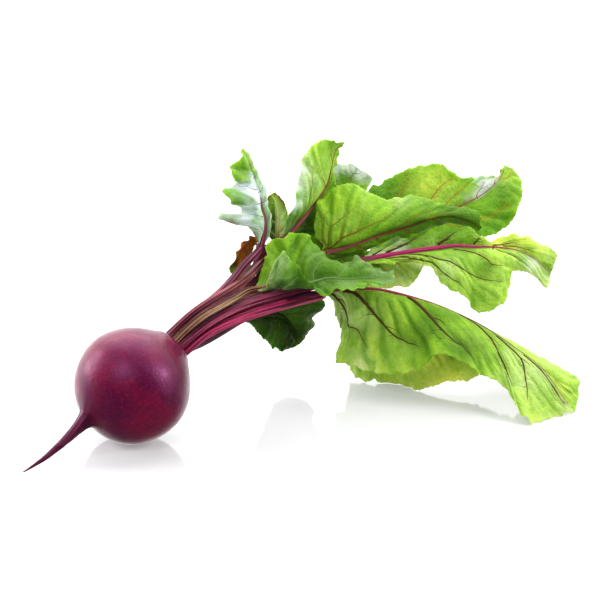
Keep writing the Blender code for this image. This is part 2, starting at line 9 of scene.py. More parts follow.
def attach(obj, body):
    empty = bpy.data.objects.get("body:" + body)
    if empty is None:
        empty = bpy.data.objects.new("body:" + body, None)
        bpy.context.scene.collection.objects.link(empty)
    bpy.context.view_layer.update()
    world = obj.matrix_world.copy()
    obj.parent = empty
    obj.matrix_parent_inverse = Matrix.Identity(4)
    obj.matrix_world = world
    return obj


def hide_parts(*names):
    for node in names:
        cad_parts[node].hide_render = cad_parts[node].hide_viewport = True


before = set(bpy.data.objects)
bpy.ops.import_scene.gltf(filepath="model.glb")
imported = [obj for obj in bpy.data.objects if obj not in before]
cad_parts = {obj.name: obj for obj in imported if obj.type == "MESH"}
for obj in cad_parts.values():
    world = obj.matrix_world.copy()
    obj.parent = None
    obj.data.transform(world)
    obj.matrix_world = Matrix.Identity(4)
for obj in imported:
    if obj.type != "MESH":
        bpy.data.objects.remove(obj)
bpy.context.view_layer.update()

MM = 0.001

# The leaves' shapes with the numbers of the source's table, in millimetres. Each leaf has the place of its
# stalk's foot on the crown, the radii of the stalk's foot and top, how far its two halves arch, its margin's
# ruffle and waves, points that the stalk passes, and rows across the blade from base to tip: a point on the
# right margin, on the midrib and on the left margin.
LEAVES = {
    "sprawling": dict(
        foot=(-6.9, 2.8), radii=(2.6, 3.0), arch=(0.0, -1.0), shoulder=0.16, ruffle=1.7, waves=5.5,
        stalk=[(41, 26, 62), (66, 43, 68), (91, 62, 68), (106, 76, 67)],
        rows=[(119, 82, 64, 119, 84, 66, 119, 88, 63), (126, 83, 53, 125, 85, 68, 128, 101, 50),
              (130, 85, 35, 135, 86, 69, 136, 104, 10), (127, 85, 19, 146, 86, 68, 141, 98, 2),
              (137, 82, 16, 156, 86, 67, 155, 92, 1), (158, 67, 17, 167, 85, 65, 172, 86, -2),
              (178, 56, 24, 179, 84, 62, 186, 80, 2), (192, 52, 36, 193, 82, 58, 200, 78, 7),
              (219, 48, 24, 208, 80, 52, 217, 80, 9), (233, 40, 19, 224, 75, 45, 236, 98, 24),
              (246, 24, 1, 240, 67, 36, 256, 90, 22), (263, 32, 1, 257, 56, 26, 275, 72, 17),
              (273, 36, 2, 270, 45, 11, 282, 54, 14), (277, 37, 1, 277, 38, 2, 278, 39, 2)]),
    "centre": dict(
        foot=(2.6, 1.4), radii=(2.2, 2.1), arch=(2.0, 4.0), ruffle=1.4, waves=5.5,
        stalk=[(41, 29, 69), (66, 52, 73), (91, 79, 70), (107, 95, 79)],
        rows=[(120, 104, 83, 118, 104, 86, 115, 105, 87), (126, 113, 82, 124, 106, 87, 113, 107, 98),
              (135, 124, 83, 133, 107, 89, 116, 112, 120), (146, 132, 83, 143, 108, 92, 131, 118, 129),
              (156, 136, 86, 154, 110, 96, 148, 122, 123), (168, 138, 89, 166, 112, 99, 163, 122, 117),
              (180, 138, 93, 178, 114, 102, 182, 124, 119), (192, 136, 97, 189, 115, 106, 198, 121, 112),
              (203, 132, 100, 201, 116, 107, 210, 121, 113), (215, 126, 97, 212, 117, 104, 220, 120, 106),
              (222, 119, 96, 221, 118, 98, 222, 118, 100)]),
    "right": dict(
        foot=(-2.7, 6.0), radii=(2.4, 2.7), arch=(4.0, 2.0), ruffle=1.5, waves=5.5,
        stalk=[(42, 25, 66), (66, 46, 71), (91, 66, 71), (114, 80, 71), (132, 91, 78)],
        rows=[(147, 96, 82, 146, 97, 84, 146, 99, 86), (162, 94, 84, 156, 98, 86, 148, 107, 88),
              (178, 93, 86, 169, 99, 88, 162, 111, 91), (188, 90, 82, 183, 100, 90, 178, 112, 97),
              (194, 86, 72, 193, 101, 91, 192, 112, 100), (208, 82, 65, 204, 102, 92, 204, 112, 102),
              (218, 80, 54, 216, 103, 91, 213, 111, 100), (234, 82, 60, 226, 103, 91, 223, 108, 92),
              (239, 88, 73, 235, 104, 90, 233, 110, 95), (242, 94, 78, 245, 104, 88, 248, 110, 96),
              (254, 98, 73, 255, 104, 83, 260, 110, 91), (263, 100, 64, 263, 104, 76, 270, 108, 84),
              (267, 102, 70, 267, 103, 74, 268, 104, 77)]),
    "far": dict(
        foot=(-2.4, -3.4), radii=(2.1, 1.9), arch=(4.0, 4.0), ruffle=1.5, waves=5.0,
        stalk=[(41, 36, 64), (65, 68, 69), (94, 106, 75)],
        rows=[(127, 134, 83, 126, 134, 85, 125, 134, 88), (138, 142, 82, 137, 147, 85, 134, 156, 90),
              (154, 148, 82, 150, 155, 86, 144, 168, 104), (172, 150, 81, 166, 160, 89, 160, 172, 114),
              (189, 151, 81, 183, 164, 91, 177, 174, 122), (206, 151, 79, 198, 167, 94, 197, 176, 125),
              (221, 150, 81, 211, 171, 97, 210, 178, 115), (235, 150, 85, 223, 174, 102, 221, 181, 115),
              (248, 155, 97, 233, 176, 109, 231, 182, 114), (252, 164, 113, 239, 178, 116, 240, 182, 117),
              (246, 174, 123, 242, 178, 123, 241, 180, 121)]),
    "tall": dict(
        foot=(6.6, 4.6), radii=(2.3, 2.0), arch=(-3.0, 3.0), ruffle=1.2, waves=4.0,
        stalk=[(42, 27, 75), (64, 54, 81), (78, 84, 85)],
        rows=[(95, 96, 98, 93, 96, 99, 91, 97, 100), (107, 107, 92, 99, 101, 103, 94, 98, 109),
              (117, 120, 92, 106, 106, 110, 100, 98, 122), (121, 128, 108, 112, 111, 116, 102, 98, 134),
              (126, 132, 119, 118, 116, 123, 104, 100, 146), (126, 131, 129, 122, 119, 130, 106, 102, 152),
              (127, 128, 139, 124, 119, 140, 111, 106, 158), (129, 122, 150, 126, 117, 150, 120, 110, 161),
              (132, 116, 157, 130, 114, 158, 129, 113, 159)]),
    "curled": dict(
        foot=(7.0, -0.4), radii=(2.2, 2.0), arch=(-3.0, -3.0), ruffle=0.8, waves=6.0,
        stalk=[(41, 34, 71), (55, 48, 78), (64, 60, 85), (71, 69, 94)],
        rows=[(77, 75, 104, 79, 77, 102, 82, 78, 102), (70, 72, 115, 81, 79, 110, 84, 84, 109),
              (53, 68, 122, 81, 81, 117, 83, 88, 115), (65, 77, 125, 79, 83, 124, 82, 89, 122),
              (59, 69, 133, 78, 84, 130, 82, 90, 128), (55, 69, 142, 76, 85, 136, 81, 91, 133),
              (64, 79, 144, 74, 86, 142, 78, 92, 139), (60, 74, 152, 72, 86, 148, 76, 92, 145),
              (65, 77, 159, 70, 86, 154, 72, 90, 153), (66, 82, 164, 67, 84, 162, 68, 86, 162)]),
    "draped": dict(
        foot=(1.9, 6.2), radii=(2.2, 1.9), arch=(-2.0, 6.0), ruffle=1.5, waves=6.5,
        stalk=[(42, 25, 73), (63, 45, 76)],
        rows=[(76, 62, 77, 76, 64, 76, 75, 66, 77), (85, 59, 90, 83, 66, 77, 81, 71, 91),
              (92, 57, 103, 90, 65, 78, 82, 75, 101), (98, 57, 98, 97, 64, 78, 93, 80, 106),
              (104, 56, 91, 104, 64, 79, 106, 85, 106), (112, 55, 79, 112, 66, 80, 114, 87, 98),
              (121, 54, 76, 122, 68, 82, 120, 86, 90), (133, 57, 79, 133, 71, 80, 132, 86, 86),
              (147, 62, 78, 146, 74, 80, 142, 88, 89), (157, 69, 77, 157, 77, 79, 155, 84, 80),
              (164, 74, 76, 164, 79, 79, 164, 83, 83)]),
    "under": dict(
        foot=(-7.0, -2.6), radii=(2.3, 1.8), arch=(4.0, 5.0), ruffle=1.4, waves=4.0,
        stalk=[(41, 35, 50), (60, 61, 52)],
        rows=[(70, 76, 49, 70, 77, 51, 71, 78, 53), (76, 88, 38, 80, 89, 49, 93, 97, 55),
              (81, 97, 28, 90, 99, 45, 118, 110, 52), (86, 104, 20, 97, 106, 36, 113, 117, 37),
              (91, 108, 17, 101, 111, 25, 110, 120, 26), (100, 112, 17, 102, 113, 19, 104, 115, 21)]),
    "yellow": dict(
        foot=(-2.0, 1.2), radii=(2.1, 1.7), arch=(3.0, 3.0), ruffle=1.2, waves=4.0,
        stalk=[(41, 30, 66), (66, 60, 67), (97, 92, 65)],
        rows=[(125, 108, 70, 124, 109, 72, 122, 112, 76), (134, 104, 64, 134, 112, 74, 131, 122, 79),
              (149, 104, 60, 147, 117, 74, 146, 129, 79), (164, 106, 62, 160, 122, 74, 162, 130, 77),
              (176, 112, 61, 172, 127, 73, 174, 133, 75), (185, 122, 70, 184, 130, 71, 186, 134, 73),
              (191, 131, 71, 190, 132, 71, 190, 133, 72)]),
    "rear": dict(
        foot=(1.2, -7.2), radii=(2.0, 1.7), arch=(3.0, 3.0), ruffle=1.2, waves=3.5,
        stalk=[(41, 46, 62), (65, 80, 67), (88, 110, 72), (102, 128, 82)],
        rows=[(112, 138, 89, 110, 138, 89, 108, 138, 91), (123, 143, 95, 117, 145, 100, 109, 145, 108),
              (137, 149, 102, 125, 152, 108, 114, 150, 120), (146, 152, 111, 133, 156, 116, 119, 154, 130),
              (151, 155, 121, 139, 158, 123, 129, 156, 131), (145, 159, 127, 142, 160, 127, 138, 160, 130)]),
    "small": dict(
        foot=(3.2, -3.2), radii=(1.9, 1.5), arch=(2.0, 2.0), ruffle=0.9, waves=3.0,
        stalk=[(41, 43, 64), (64, 70, 74), (74, 83, 81), (80, 93, 84)],
        rows=[(91, 99, 95, 89, 98, 95, 87, 97, 96), (94, 102, 103, 89, 100, 103, 82, 97, 103),
              (96, 103, 112, 89, 101, 112, 80, 97, 114), (93, 102, 121, 88, 100, 122, 80, 97, 122),
              (88, 99, 127, 85, 98, 128, 83, 97, 127)]),
    "withered": dict(
        foot=(6.6, -5.4), radii=(1.8, 1.4), arch=(2.0, 2.0), ruffle=1.2, waves=3.5,
        stalk=[(41, 45, 67), (56, 66, 69)],
        rows=[(69, 86, 71, 71, 86, 71, 72, 86, 72), (62, 89, 76, 67, 94, 78, 72, 96, 80),
              (62, 92, 84, 67, 99, 85, 73, 103, 87), (65, 96, 92, 70, 102, 92, 75, 105, 93),
              (71, 100, 99, 73, 103, 98, 76, 104, 98)]),
}

# The root's axis from the crown to the tip of the taproot, and its radii by length along the axis
ROOT_AXIS = [(25.8, 18.5, 54.9), (13.2, 9.7, 45.3), (0.0, 0.0, 35.6), (-12.9, -9.9, 28.6),
             (-25.2, -19.7, 22.6), (-32.5, -26.4, 17.6), (-40.0, -33.6, 12.2), (-48.0, -40.8, 7.2),
             (-56.0, -47.5, 3.4), (-63.0, -53.0, 0.9)]
CROWN_DIRECTION = (0.693, 0.498, 0.521)
ROOT_OUTLINE = [(0.0, 11.4), (1.0, 12.8), (2.8, 15.0), (5.4, 18.4), (8.6, 22.4), (13.0, 26.8), (18.6, 31.0),
                (24.8, 34.0), (31.2, 35.7), (37.2, 36.1), (43.6, 35.4), (50.0, 33.4), (56.0, 30.3),
                (61.6, 25.9), (66.0, 20.4), (69.0, 14.9), (70.8, 10.6), (72.4, 7.6), (74.6, 5.6), (78.4, 4.4),
                (84.0, 3.5), (92.0, 2.75), (101.5, 2.1), (109.5, 1.6), (117.0, 1.05), (122.5, 0.7),
                (126.0, 0.4)]
# How the source makes stalks and blades from the table, in millimetres and shares
GAP = 0.35
FOOT_RISE = 7.0
STALK_TAPER = 1.5
STALK_SWELL = 0.5
STALK_POINTS = 40
STALK_CLEARANCE = 0.45
SPREAD_ROUNDS = 320
SPREAD_STEP = 0.5
SPREAD_EASE = 0.3
SLOT_GAP = 0.25
SLOT_SHARE = 0.72
RIB_END_RADIUS = 0.6
RIB_TAPER = 0.8
LIP = 1.2
LEAST_START = 0.3
SHOULDER = 0.42
FOOT_ROW_TURN = math.radians(127)
FOOT_LAYER_TURN = math.radians(37)
# What the scene adds, in millimetres, counts and shares
EASE_ROUNDS = 24
ALONG = 0.6
ACROSS = 1.1
VEIN_SIDES = 8
STALK_SIDES = 48
STALK_RIDGES = 7
HALF_THICKNESS = 0.30
MARGIN_THINNING = 0.14
LOWEST = 0.02
BLADE_LOWEST = 0.32
VEIN_RISE, VEIN_RISE_SHARE = 0.27, 0.5
STALK_STEPS = 150
STALK_TIP_THINNING = 0.78
STALK_FOOT_SWELL = 0.22
# The depths in the crown of a stalk's first points: from, to and how many
STALK_SUNK = (2.4, 0.3, 4)
YOUNG_STEPS = 120
YOUNG_RISE = 8
YOUNG_SUNK = 2
YOUNG_TAPER = 0.35
TOOTH_LEAST, TOOTH_MOST = 2.2, 4.8
VEIN_LEAST_RADIUS = 0.13
# Veins by rank, 1 for side veins and 2 for their branches: points of the ribs, points that the blade is
# lifted by, and the shares of a side vein where its branches start, each with the side that it goes to
VEIN_POINTS = {1: 60, 2: 16}
LIFT_POINTS = {1: 120, 2: 30}
BRANCHES = [(0.3, 1), (0.46, -1), (0.62, 1), (0.76, -1)]
# How far from a vein the blade sinks, its halo goes, it puckers and its smallest veins show, in millimetres
SINK_REACH, HALO_REACH = 4.8, 1.7
PUCKER_REACH, MINOR_REACH = 1.8, 0.6
# How high the blade stays between the veins and how deep it puckers, as shares of its puff, and its lumps
PUFF_MIDDLE, PUCKER_SHARE, LUMP_RISE = 0.4, 0.35, 0.25
# Smooth random waves over a blade and along its margins: the longest and the shortest, and how many
FOLD_WAVES = (46, 18, 14)
LUMP_WAVES = (20, 8, 22)
SLANT_WAVES = (40, 15)
PATCH_WAVES = (50, 20)
SHAKE_WAVES = (18, 6)
PLEAT_WAVES = (13, 4.6, 7)
FRILL_WAVES = (24, 7)
SCALLOP_WAVES = (17, 8)
# A leaf tint's share that stays, and how much the palest are eased
LEAF_SHARE = (0.98, 0.92, 0.97)
LEAF_EASE = 0.24
# The root's fineness, its lumps as how many round it, height and turn, its widest radius, the taproot's folds
# in millimetres, and its waves as seed, how many, longest and shortest
ROOT_RINGS = 350
ROOT_AROUND = 280
LUMP_HEIGHT = 0.35
LUMPS = [(3, 1.0, 0.7), (5, 0.7, 2.1)]
ROOT_WIDEST = 36.0
TAIL_FOLD = 1.6
ROOT_SOFT = (3, 16, 60, 24)
ROOT_SMALL = (4, 24, 12, 5)
ROOT_ROUGH = (6, 24, 7, 3)
# The floor and the camera, which looks along the y axis and down, in metres; the sensor is in millimetres
FLOOR_SIZE = 14
FLOOR_DROP = 0.00005
CAMERA_RISE = math.radians(20)
CAMERA_AIM = (0.1035, 0.0862 * math.sin(CAMERA_RISE), 0.0862 * math.cos(CAMERA_RISE))
CAMERA_WAY = 1.5
SENSOR = 36.0
WIDTH_IN_VIEW = 0.372
# The white room's strength for matt surfaces and for the camera, and for gloss its darkest and brightest, the
# side where it is bright, and between which shares of that side it fades
ROOM_DIFFUSE = 0.38
ROOM_SEEN = 1.1
ROOM_DARK = 0.22
ROOM_BRIGHT = 2.4
ROOM_BRIGHT_SIDE = (-0.2, 0.75, 0.63)
ROOM_FADE = (-0.35, 0.45)
# Soft lights: place, target and size in metres, watts, and whether they light matt surfaces too
LIGHTS = [("overhead", (0.05, 0.8, 1.4), (0.08, 0.1, 0), (2.1, 1.4), 31, True),
          ("left_box", (-1.1, 0.3, 0.5), (0, 0, 0.04), (0.7, 0.8), 14, True),
          ("right_box", (1.15, -0.2, 0.72), (0, 0, 0.04), (0.45, 0.45), 10, True),
          ("rim_gloss", (-0.25, 1.5, 1.0), (0, 0, 0.05), (2.0, 0.9), 2, False),
          ("right_gloss", (1.2, -0.25, 0.6), (0, 0, 0.04), (0.7, 1.5), 9, False),
          ("front_box", (-0.5, -1.2, 1.3), (0.15, 0.05, 0.06), (0.7, 0.7), 12, True)]


def points_of(leaf):
    """The leaf's rows as an array: row, then right margin, midrib and left margin, then x, y and z."""
    return np.array(leaf["rows"], float).reshape(-1, 3, 3)


def unit(vectors):
    """The same vectors with a length of one."""
    vectors = np.asarray(vectors, float)
    return vectors / np.maximum(np.linalg.norm(vectors, axis=-1, keepdims=True), 1e-9)


def smooth_curve(points, places):
    """The Catmull-Rom curve through points, read at places counted in points."""
    points = np.asarray(points, float)
    places = np.atleast_1d(np.asarray(places, float))
    padded = np.concatenate([[2 * points[0] - points[1]], points, [2 * points[-1] - points[-2]]])
    i = np.clip(places.astype(int), 0, len(points) - 2)
    f = (places - i)[:, None]
    a, b, c, d = padded[i], padded[i + 1], padded[i + 2], padded[i + 3]
    return 0.5 * (2 * b + (c - a) * f + (2 * a - 5 * b + 4 * c - d) * f ** 2
                  + (3 * b - a - 3 * c + d) * f ** 3)


def resampled(points, count):
    """The smooth curve through points, as this many points, as many between each two of the given ones."""
    return smooth_curve(points, np.linspace(0, len(points) - 1, count))


def length_along(line):
    """The way from a line's first point to each of its points."""
    return np.concatenate([[0], np.cumsum(np.linalg.norm(np.diff(line, axis=0), axis=1))])


def read_along(points, wanted=None, count=0):
    """The smooth curve through points, read at the wanted lengths or at count points an equal way apart."""
    dense = resampled(points, 40 * len(points))
    way = length_along(dense)
    wanted = np.linspace(0, way[-1], count) if wanted is None else wanted
    return np.column_stack([np.interp(wanted, way, dense[:, k]) for k in range(3)])


def all_round(count):
    """This many angles round a tube."""
    return np.linspace(0, 2 * math.pi, count, endpoint=False)


def waves_in_space(seed, count, longest, shortest):
    """A smooth random field of points in space, as a function: plane waves of random direction."""
    rng = np.random.default_rng(seed)
    directions = unit(rng.normal(size=(count, 3)))
    lengths = np.exp(rng.uniform(math.log(shortest), math.log(longest), count))
    turns = rng.uniform(0, 2 * math.pi, count)
    share = lengths / lengths.sum()

    def field(points):
        phase = points @ (directions / lengths[:, None] * 2 * math.pi).T + turns
        return (np.sin(phase) * share).sum(axis=-1) * 2.2
    return field


def waves_along(seed, longest, shortest, count=9):
    """A smooth random wave along a line, as a function of length, about -1 to 1."""
    rng = np.random.default_rng(seed)
    lengths = np.exp(rng.uniform(math.log(shortest), math.log(longest), count))
    turns = rng.uniform(0, 2 * math.pi, count)

    def wave(s):
        return np.sin(np.asarray(s)[..., None] / lengths * 2 * math.pi + turns).mean(axis=-1) * 2.0
    return wave


def smoothstep(low, high, x):
    """0 at low and 1 at high, with a soft start and end between them."""
    t = np.clip((x - low) / (high - low), 0, 1)
    return t * t * (3 - 2 * t)


def crown_frame():
    """The crown's middle and its outward, camera-side and upper directions."""
    outward = unit(np.array(CROWN_DIRECTION))
    upper = unit(np.array((0.0, 0.0, 1.0)) - outward[2] * outward)
    return np.array(ROOT_AXIS[0]), outward, np.cross(outward, upper), upper


def foot_of(leaf):
    crown, outward, side, upper = crown_frame()
    row = side * math.cos(FOOT_ROW_TURN) + upper * math.sin(FOOT_ROW_TURN)
    layer = side * math.cos(FOOT_LAYER_TURN) + upper * math.sin(FOOT_LAYER_TURN)
    along_row, towards_camera = leaf["foot"]
    return crown + outward * GAP + row * along_row + layer * towards_camera, outward


def stalk_path(leaf):
    """The stalk's middle from its foot to the blade, through the leaf's own points."""
    foot, outward = foot_of(leaf)
    blade_foot, second = points_of(leaf)[:2, 1]
    before = blade_foot - unit(second - blade_foot) * FOOT_RISE
    points = [foot, foot + outward * FOOT_RISE, *leaf["stalk"], before, blade_foot]
    return read_along(points, count=STALK_POINTS)


def stalk_radius(leaf, share):
    foot, top = leaf["radii"]
    return top + (foot - top) * (1 - share) ** STALK_TAPER + STALK_SWELL * np.sin(math.pi * share)


def spread_stalks(paths, radii):
    """The stalks' middles moved aside until the stalks clear each other, as in the source."""
    names = list(paths)
    drawn = np.array([paths[name] for name in names])
    moved = np.zeros_like(drawn)
    reach = np.array([radii[name] for name in names])
    order = np.arange(STALK_POINTS)
    free = np.clip(np.minimum(order - 1, order[::-1]) / 4.0, 0, 1)[None, :, None]
    owner = np.repeat(np.arange(len(names)), STALK_POINTS)
    for _ in range(SPREAD_ROUNDS):
        flat = (drawn + moved).reshape(-1, 3)
        apart = flat[:, None, :] - flat[None, :, :]
        distance = np.linalg.norm(apart, axis=2) + 1e-6
        wanted = reach.reshape(-1)[:, None] + reach.reshape(-1)[None, :] + STALK_CLEARANCE
        short = np.clip(wanted - distance, 0, None)
        short[owner[:, None] == owner[None, :]] = 0
        push = (apart / distance[:, :, None] * short[:, :, None]).sum(axis=1)
        count = np.maximum((short > 0).sum(axis=1), 1)[:, None]
        moved = moved + free * SPREAD_STEP * (push / count).reshape(moved.shape)
        bend = np.zeros_like(moved)
        bend[:, 1:-1] = (moved[:, :-2] + moved[:, 2:]) / 2 - moved[:, 1:-1]
        moved = moved + free * SPREAD_EASE * bend
    return dict(zip(names, drawn + moved))


def blade_frame(leaf, places):
    """The midrib's middle, its direction, the leftward side and both margins at each station."""
    rows = points_of(leaf)
    right, middle, left = (smooth_curve(rows[:, k], places) for k in range(3))
    along = unit(np.gradient(middle, axis=0))
    across = unit(unit(rows[:, 2] - rows[:, 1]) - unit(rows[:, 0] - rows[:, 1]))
    across[0], across[-1] = across[1], across[-2]
    side = smooth_curve(across, places)
    side = unit(side - np.sum(side * along, axis=1)[:, None] * along)
    return middle, along, side, right, left


def rib_radius(leaf, share):
    top = leaf["radii"][1]
    return top + (RIB_END_RADIUS - top) * np.clip(share / SLOT_SHARE, 0, 1) ** RIB_TAPER


def half_blade(leaf, places, hand, strips):
    """One half's middle surface as in the source: stations by strips, from the midrib's side to the margin."""
    middle, along, side, right, left = blade_frame(leaf, places)
    turn = 1 if hand == "left" else -1
    outwards = side * turn
    upper = np.cross(along, side)
    share = places / places[-1]
    start = (rib_radius(leaf, share) + SLOT_GAP) * smoothstep(SLOT_SHARE + 0.1, SLOT_SHARE, share)
    start = np.maximum(start, LEAST_START)
    least = start + LIP
    margin = left if hand == "left" else right
    width = np.linalg.norm(margin - middle, axis=1)
    own = np.clip((width / least - 1.5) / 3.0, 0, 1)[:, None]
    width = np.maximum(width, least)
    margin = margin * own + (middle + outwards * width[:, None]) * (1 - own)
    arch = 2 * leaf["arch"][0 if hand == "right" else 1] * np.sin(math.pi * share ** 0.8) ** 0.7
    arch = arch * np.clip((width - start) / 14.0, 0, 1)
    fade = np.minimum(share / 0.12, (1 - share) / 0.08)
    depth = leaf["ruffle"] * np.clip(fade, 0, 1) * np.clip(width / 12.0, 0, 1)
    phase = 2 * math.pi * leaf["waves"] * share + (2.3 if hand == "left" else 0.4)
    wave = depth * (np.sin(phase) + 0.3 * np.sin(1.7 * phase + 1.1))
    inner = middle + outwards * start[:, None]
    out = leaf.get("shoulder", SHOULDER) * (width - start)
    shoulder = inner + outwards * out[:, None] + upper * arch[:, None]
    v = np.asarray(strips)[None, :, None]
    inner, shoulder, margin = inner[:, None], shoulder[:, None], margin[:, None]
    point = inner * (1 - v) ** 2 + shoulder * 2 * v * (1 - v) + margin * v ** 2
    slope = (shoulder - inner) * (1 - v) + (margin - shoulder) * v
    normal = unit(np.cross(along[:, None], slope)) * turn
    return point + normal * wave[:, None, None] * v ** 2.5


def mesh_object(name, points, quads, triangles=()):
    """A smooth mesh object from points in millimetres, quads and triangles."""
    points = np.asarray(points, np.float32) * MM
    quads = np.asarray(quads, np.int32).reshape(-1, 4)
    triangles = np.asarray(triangles, np.int32).reshape(-1, 3)
    mesh = bpy.data.meshes.new(name)
    mesh.vertices.add(len(points))
    mesh.vertices.foreach_set("co", points.reshape(-1))
    corners = np.concatenate([quads.reshape(-1), triangles.reshape(-1)])
    mesh.loops.add(len(corners))
    mesh.loops.foreach_set("vertex_index", corners)
    mesh.polygons.add(len(quads) + len(triangles))
    starts = np.concatenate([np.arange(len(quads)) * 4, 4 * len(quads) + np.arange(len(triangles)) * 3])
    mesh.polygons.foreach_set("loop_start", starts.astype(np.int32))
    mesh.update(calc_edges=True)
    mesh.polygons.foreach_set("use_smooth", np.ones(len(mesh.polygons), bool))
    made = bpy.data.objects.new(name, mesh)
    bpy.context.scene.collection.objects.link(made)
    return made


def give(made, name, values):
    """A value or a colour for each point, for the material to read."""
    values = np.asarray(values, np.float32)
    kind = "FLOAT_COLOR" if values.ndim == 2 else "FLOAT"
    attribute = made.data.attributes.new(name, kind, "POINT")
    if kind == "FLOAT_COLOR":
        values = np.column_stack([values, np.ones(len(values), np.float32)])
    attribute.data.foreach_set("color" if kind == "FLOAT_COLOR" else "value",
                               np.ascontiguousarray(values).reshape(-1))


def closed(rings, ends):
    """Points and faces of a closed tube through rings of points, with a middle point for each end."""
    count, around = rings.shape[:2]
    a = np.arange(count - 1)[:, None] * around
    k = np.arange(around)
    following = (k + 1) % around
    quads = np.stack([a + k, a + following, a + around + following, a + around + k], axis=-1).reshape(-1, 4)
    start, last = count * around, (count - 1) * around
    caps = np.concatenate([np.column_stack([np.full(around, start), following, k]),
                           np.column_stack([np.full(around, start + 1), last + k, last + following])])
    return np.concatenate([rings.reshape(-1, 3), ends]), quads, caps


def tube(centres, sides, uppers, radii, section):
    """Points and faces of a closed tube. section is angles and the share of the radius at each."""
    angles, reach = section
    across = (np.cos(angles) * reach)[None, :, None] * radii[:, None, None] * sides[:, None, :]
    over = (np.sin(angles) * reach)[None, :, None] * radii[:, None, None] * uppers[:, None, :]
    points, quads, caps = closed(centres[:, None, :] + across + over, centres[[0, -1]])
    points[:, 2] = np.maximum(points[:, 2], LOWEST)
    return points, quads, caps


# Leaf colours, as linear red, green and blue. DEEP, DARK and SHADE serve as dark leaf and as painted shade,
# PALE as pale leaf and as painted highlight.
DEEP = (0.014, 0.046, 0.003)
DARK = (0.04, 0.13, 0.005)
SHADE = (0.078, 0.225, 0.008)
MID = (0.13, 0.34, 0.012)
BRIGHT = (0.20, 0.45, 0.02)
LIME = (0.32, 0.58, 0.065)
PALE = (0.47, 0.70, 0.22)
OLIVE = (0.26, 0.38, 0.012)
LEMON = (0.56, 0.78, 0.08)
# A painted glow: light shining through a leaf
GLOW = (0.80, 1.0, 0.42)
SAGE = (0.14, 0.28, 0.075)
# A pale silvery green: painted sheen, on the curled leaf partly its paler underside
GREEN_SHEEN = (0.40, 0.64, 0.32)
# A painted white sheen
WHITE_SHEEN = (0.76, 0.88, 0.86)
RUST = (0.33, 0.075, 0.008)
BROWN = (0.12, 0.035, 0.012)
VEIN_RED = (0.05, 0.007, 0.005)
VEIN_BROWN = (0.13, 0.028, 0.006)
VEIN_PALE = (0.36, 0.52, 0.17)
CRIMSON = (0.30, 0.008, 0.045)
MAROON = (0.03, 0.003, 0.009)
PURPLE = (0.045, 0.005, 0.03)
TAN = (0.36, 0.15, 0.08)
PINK = (0.50, 0.12, 0.18)
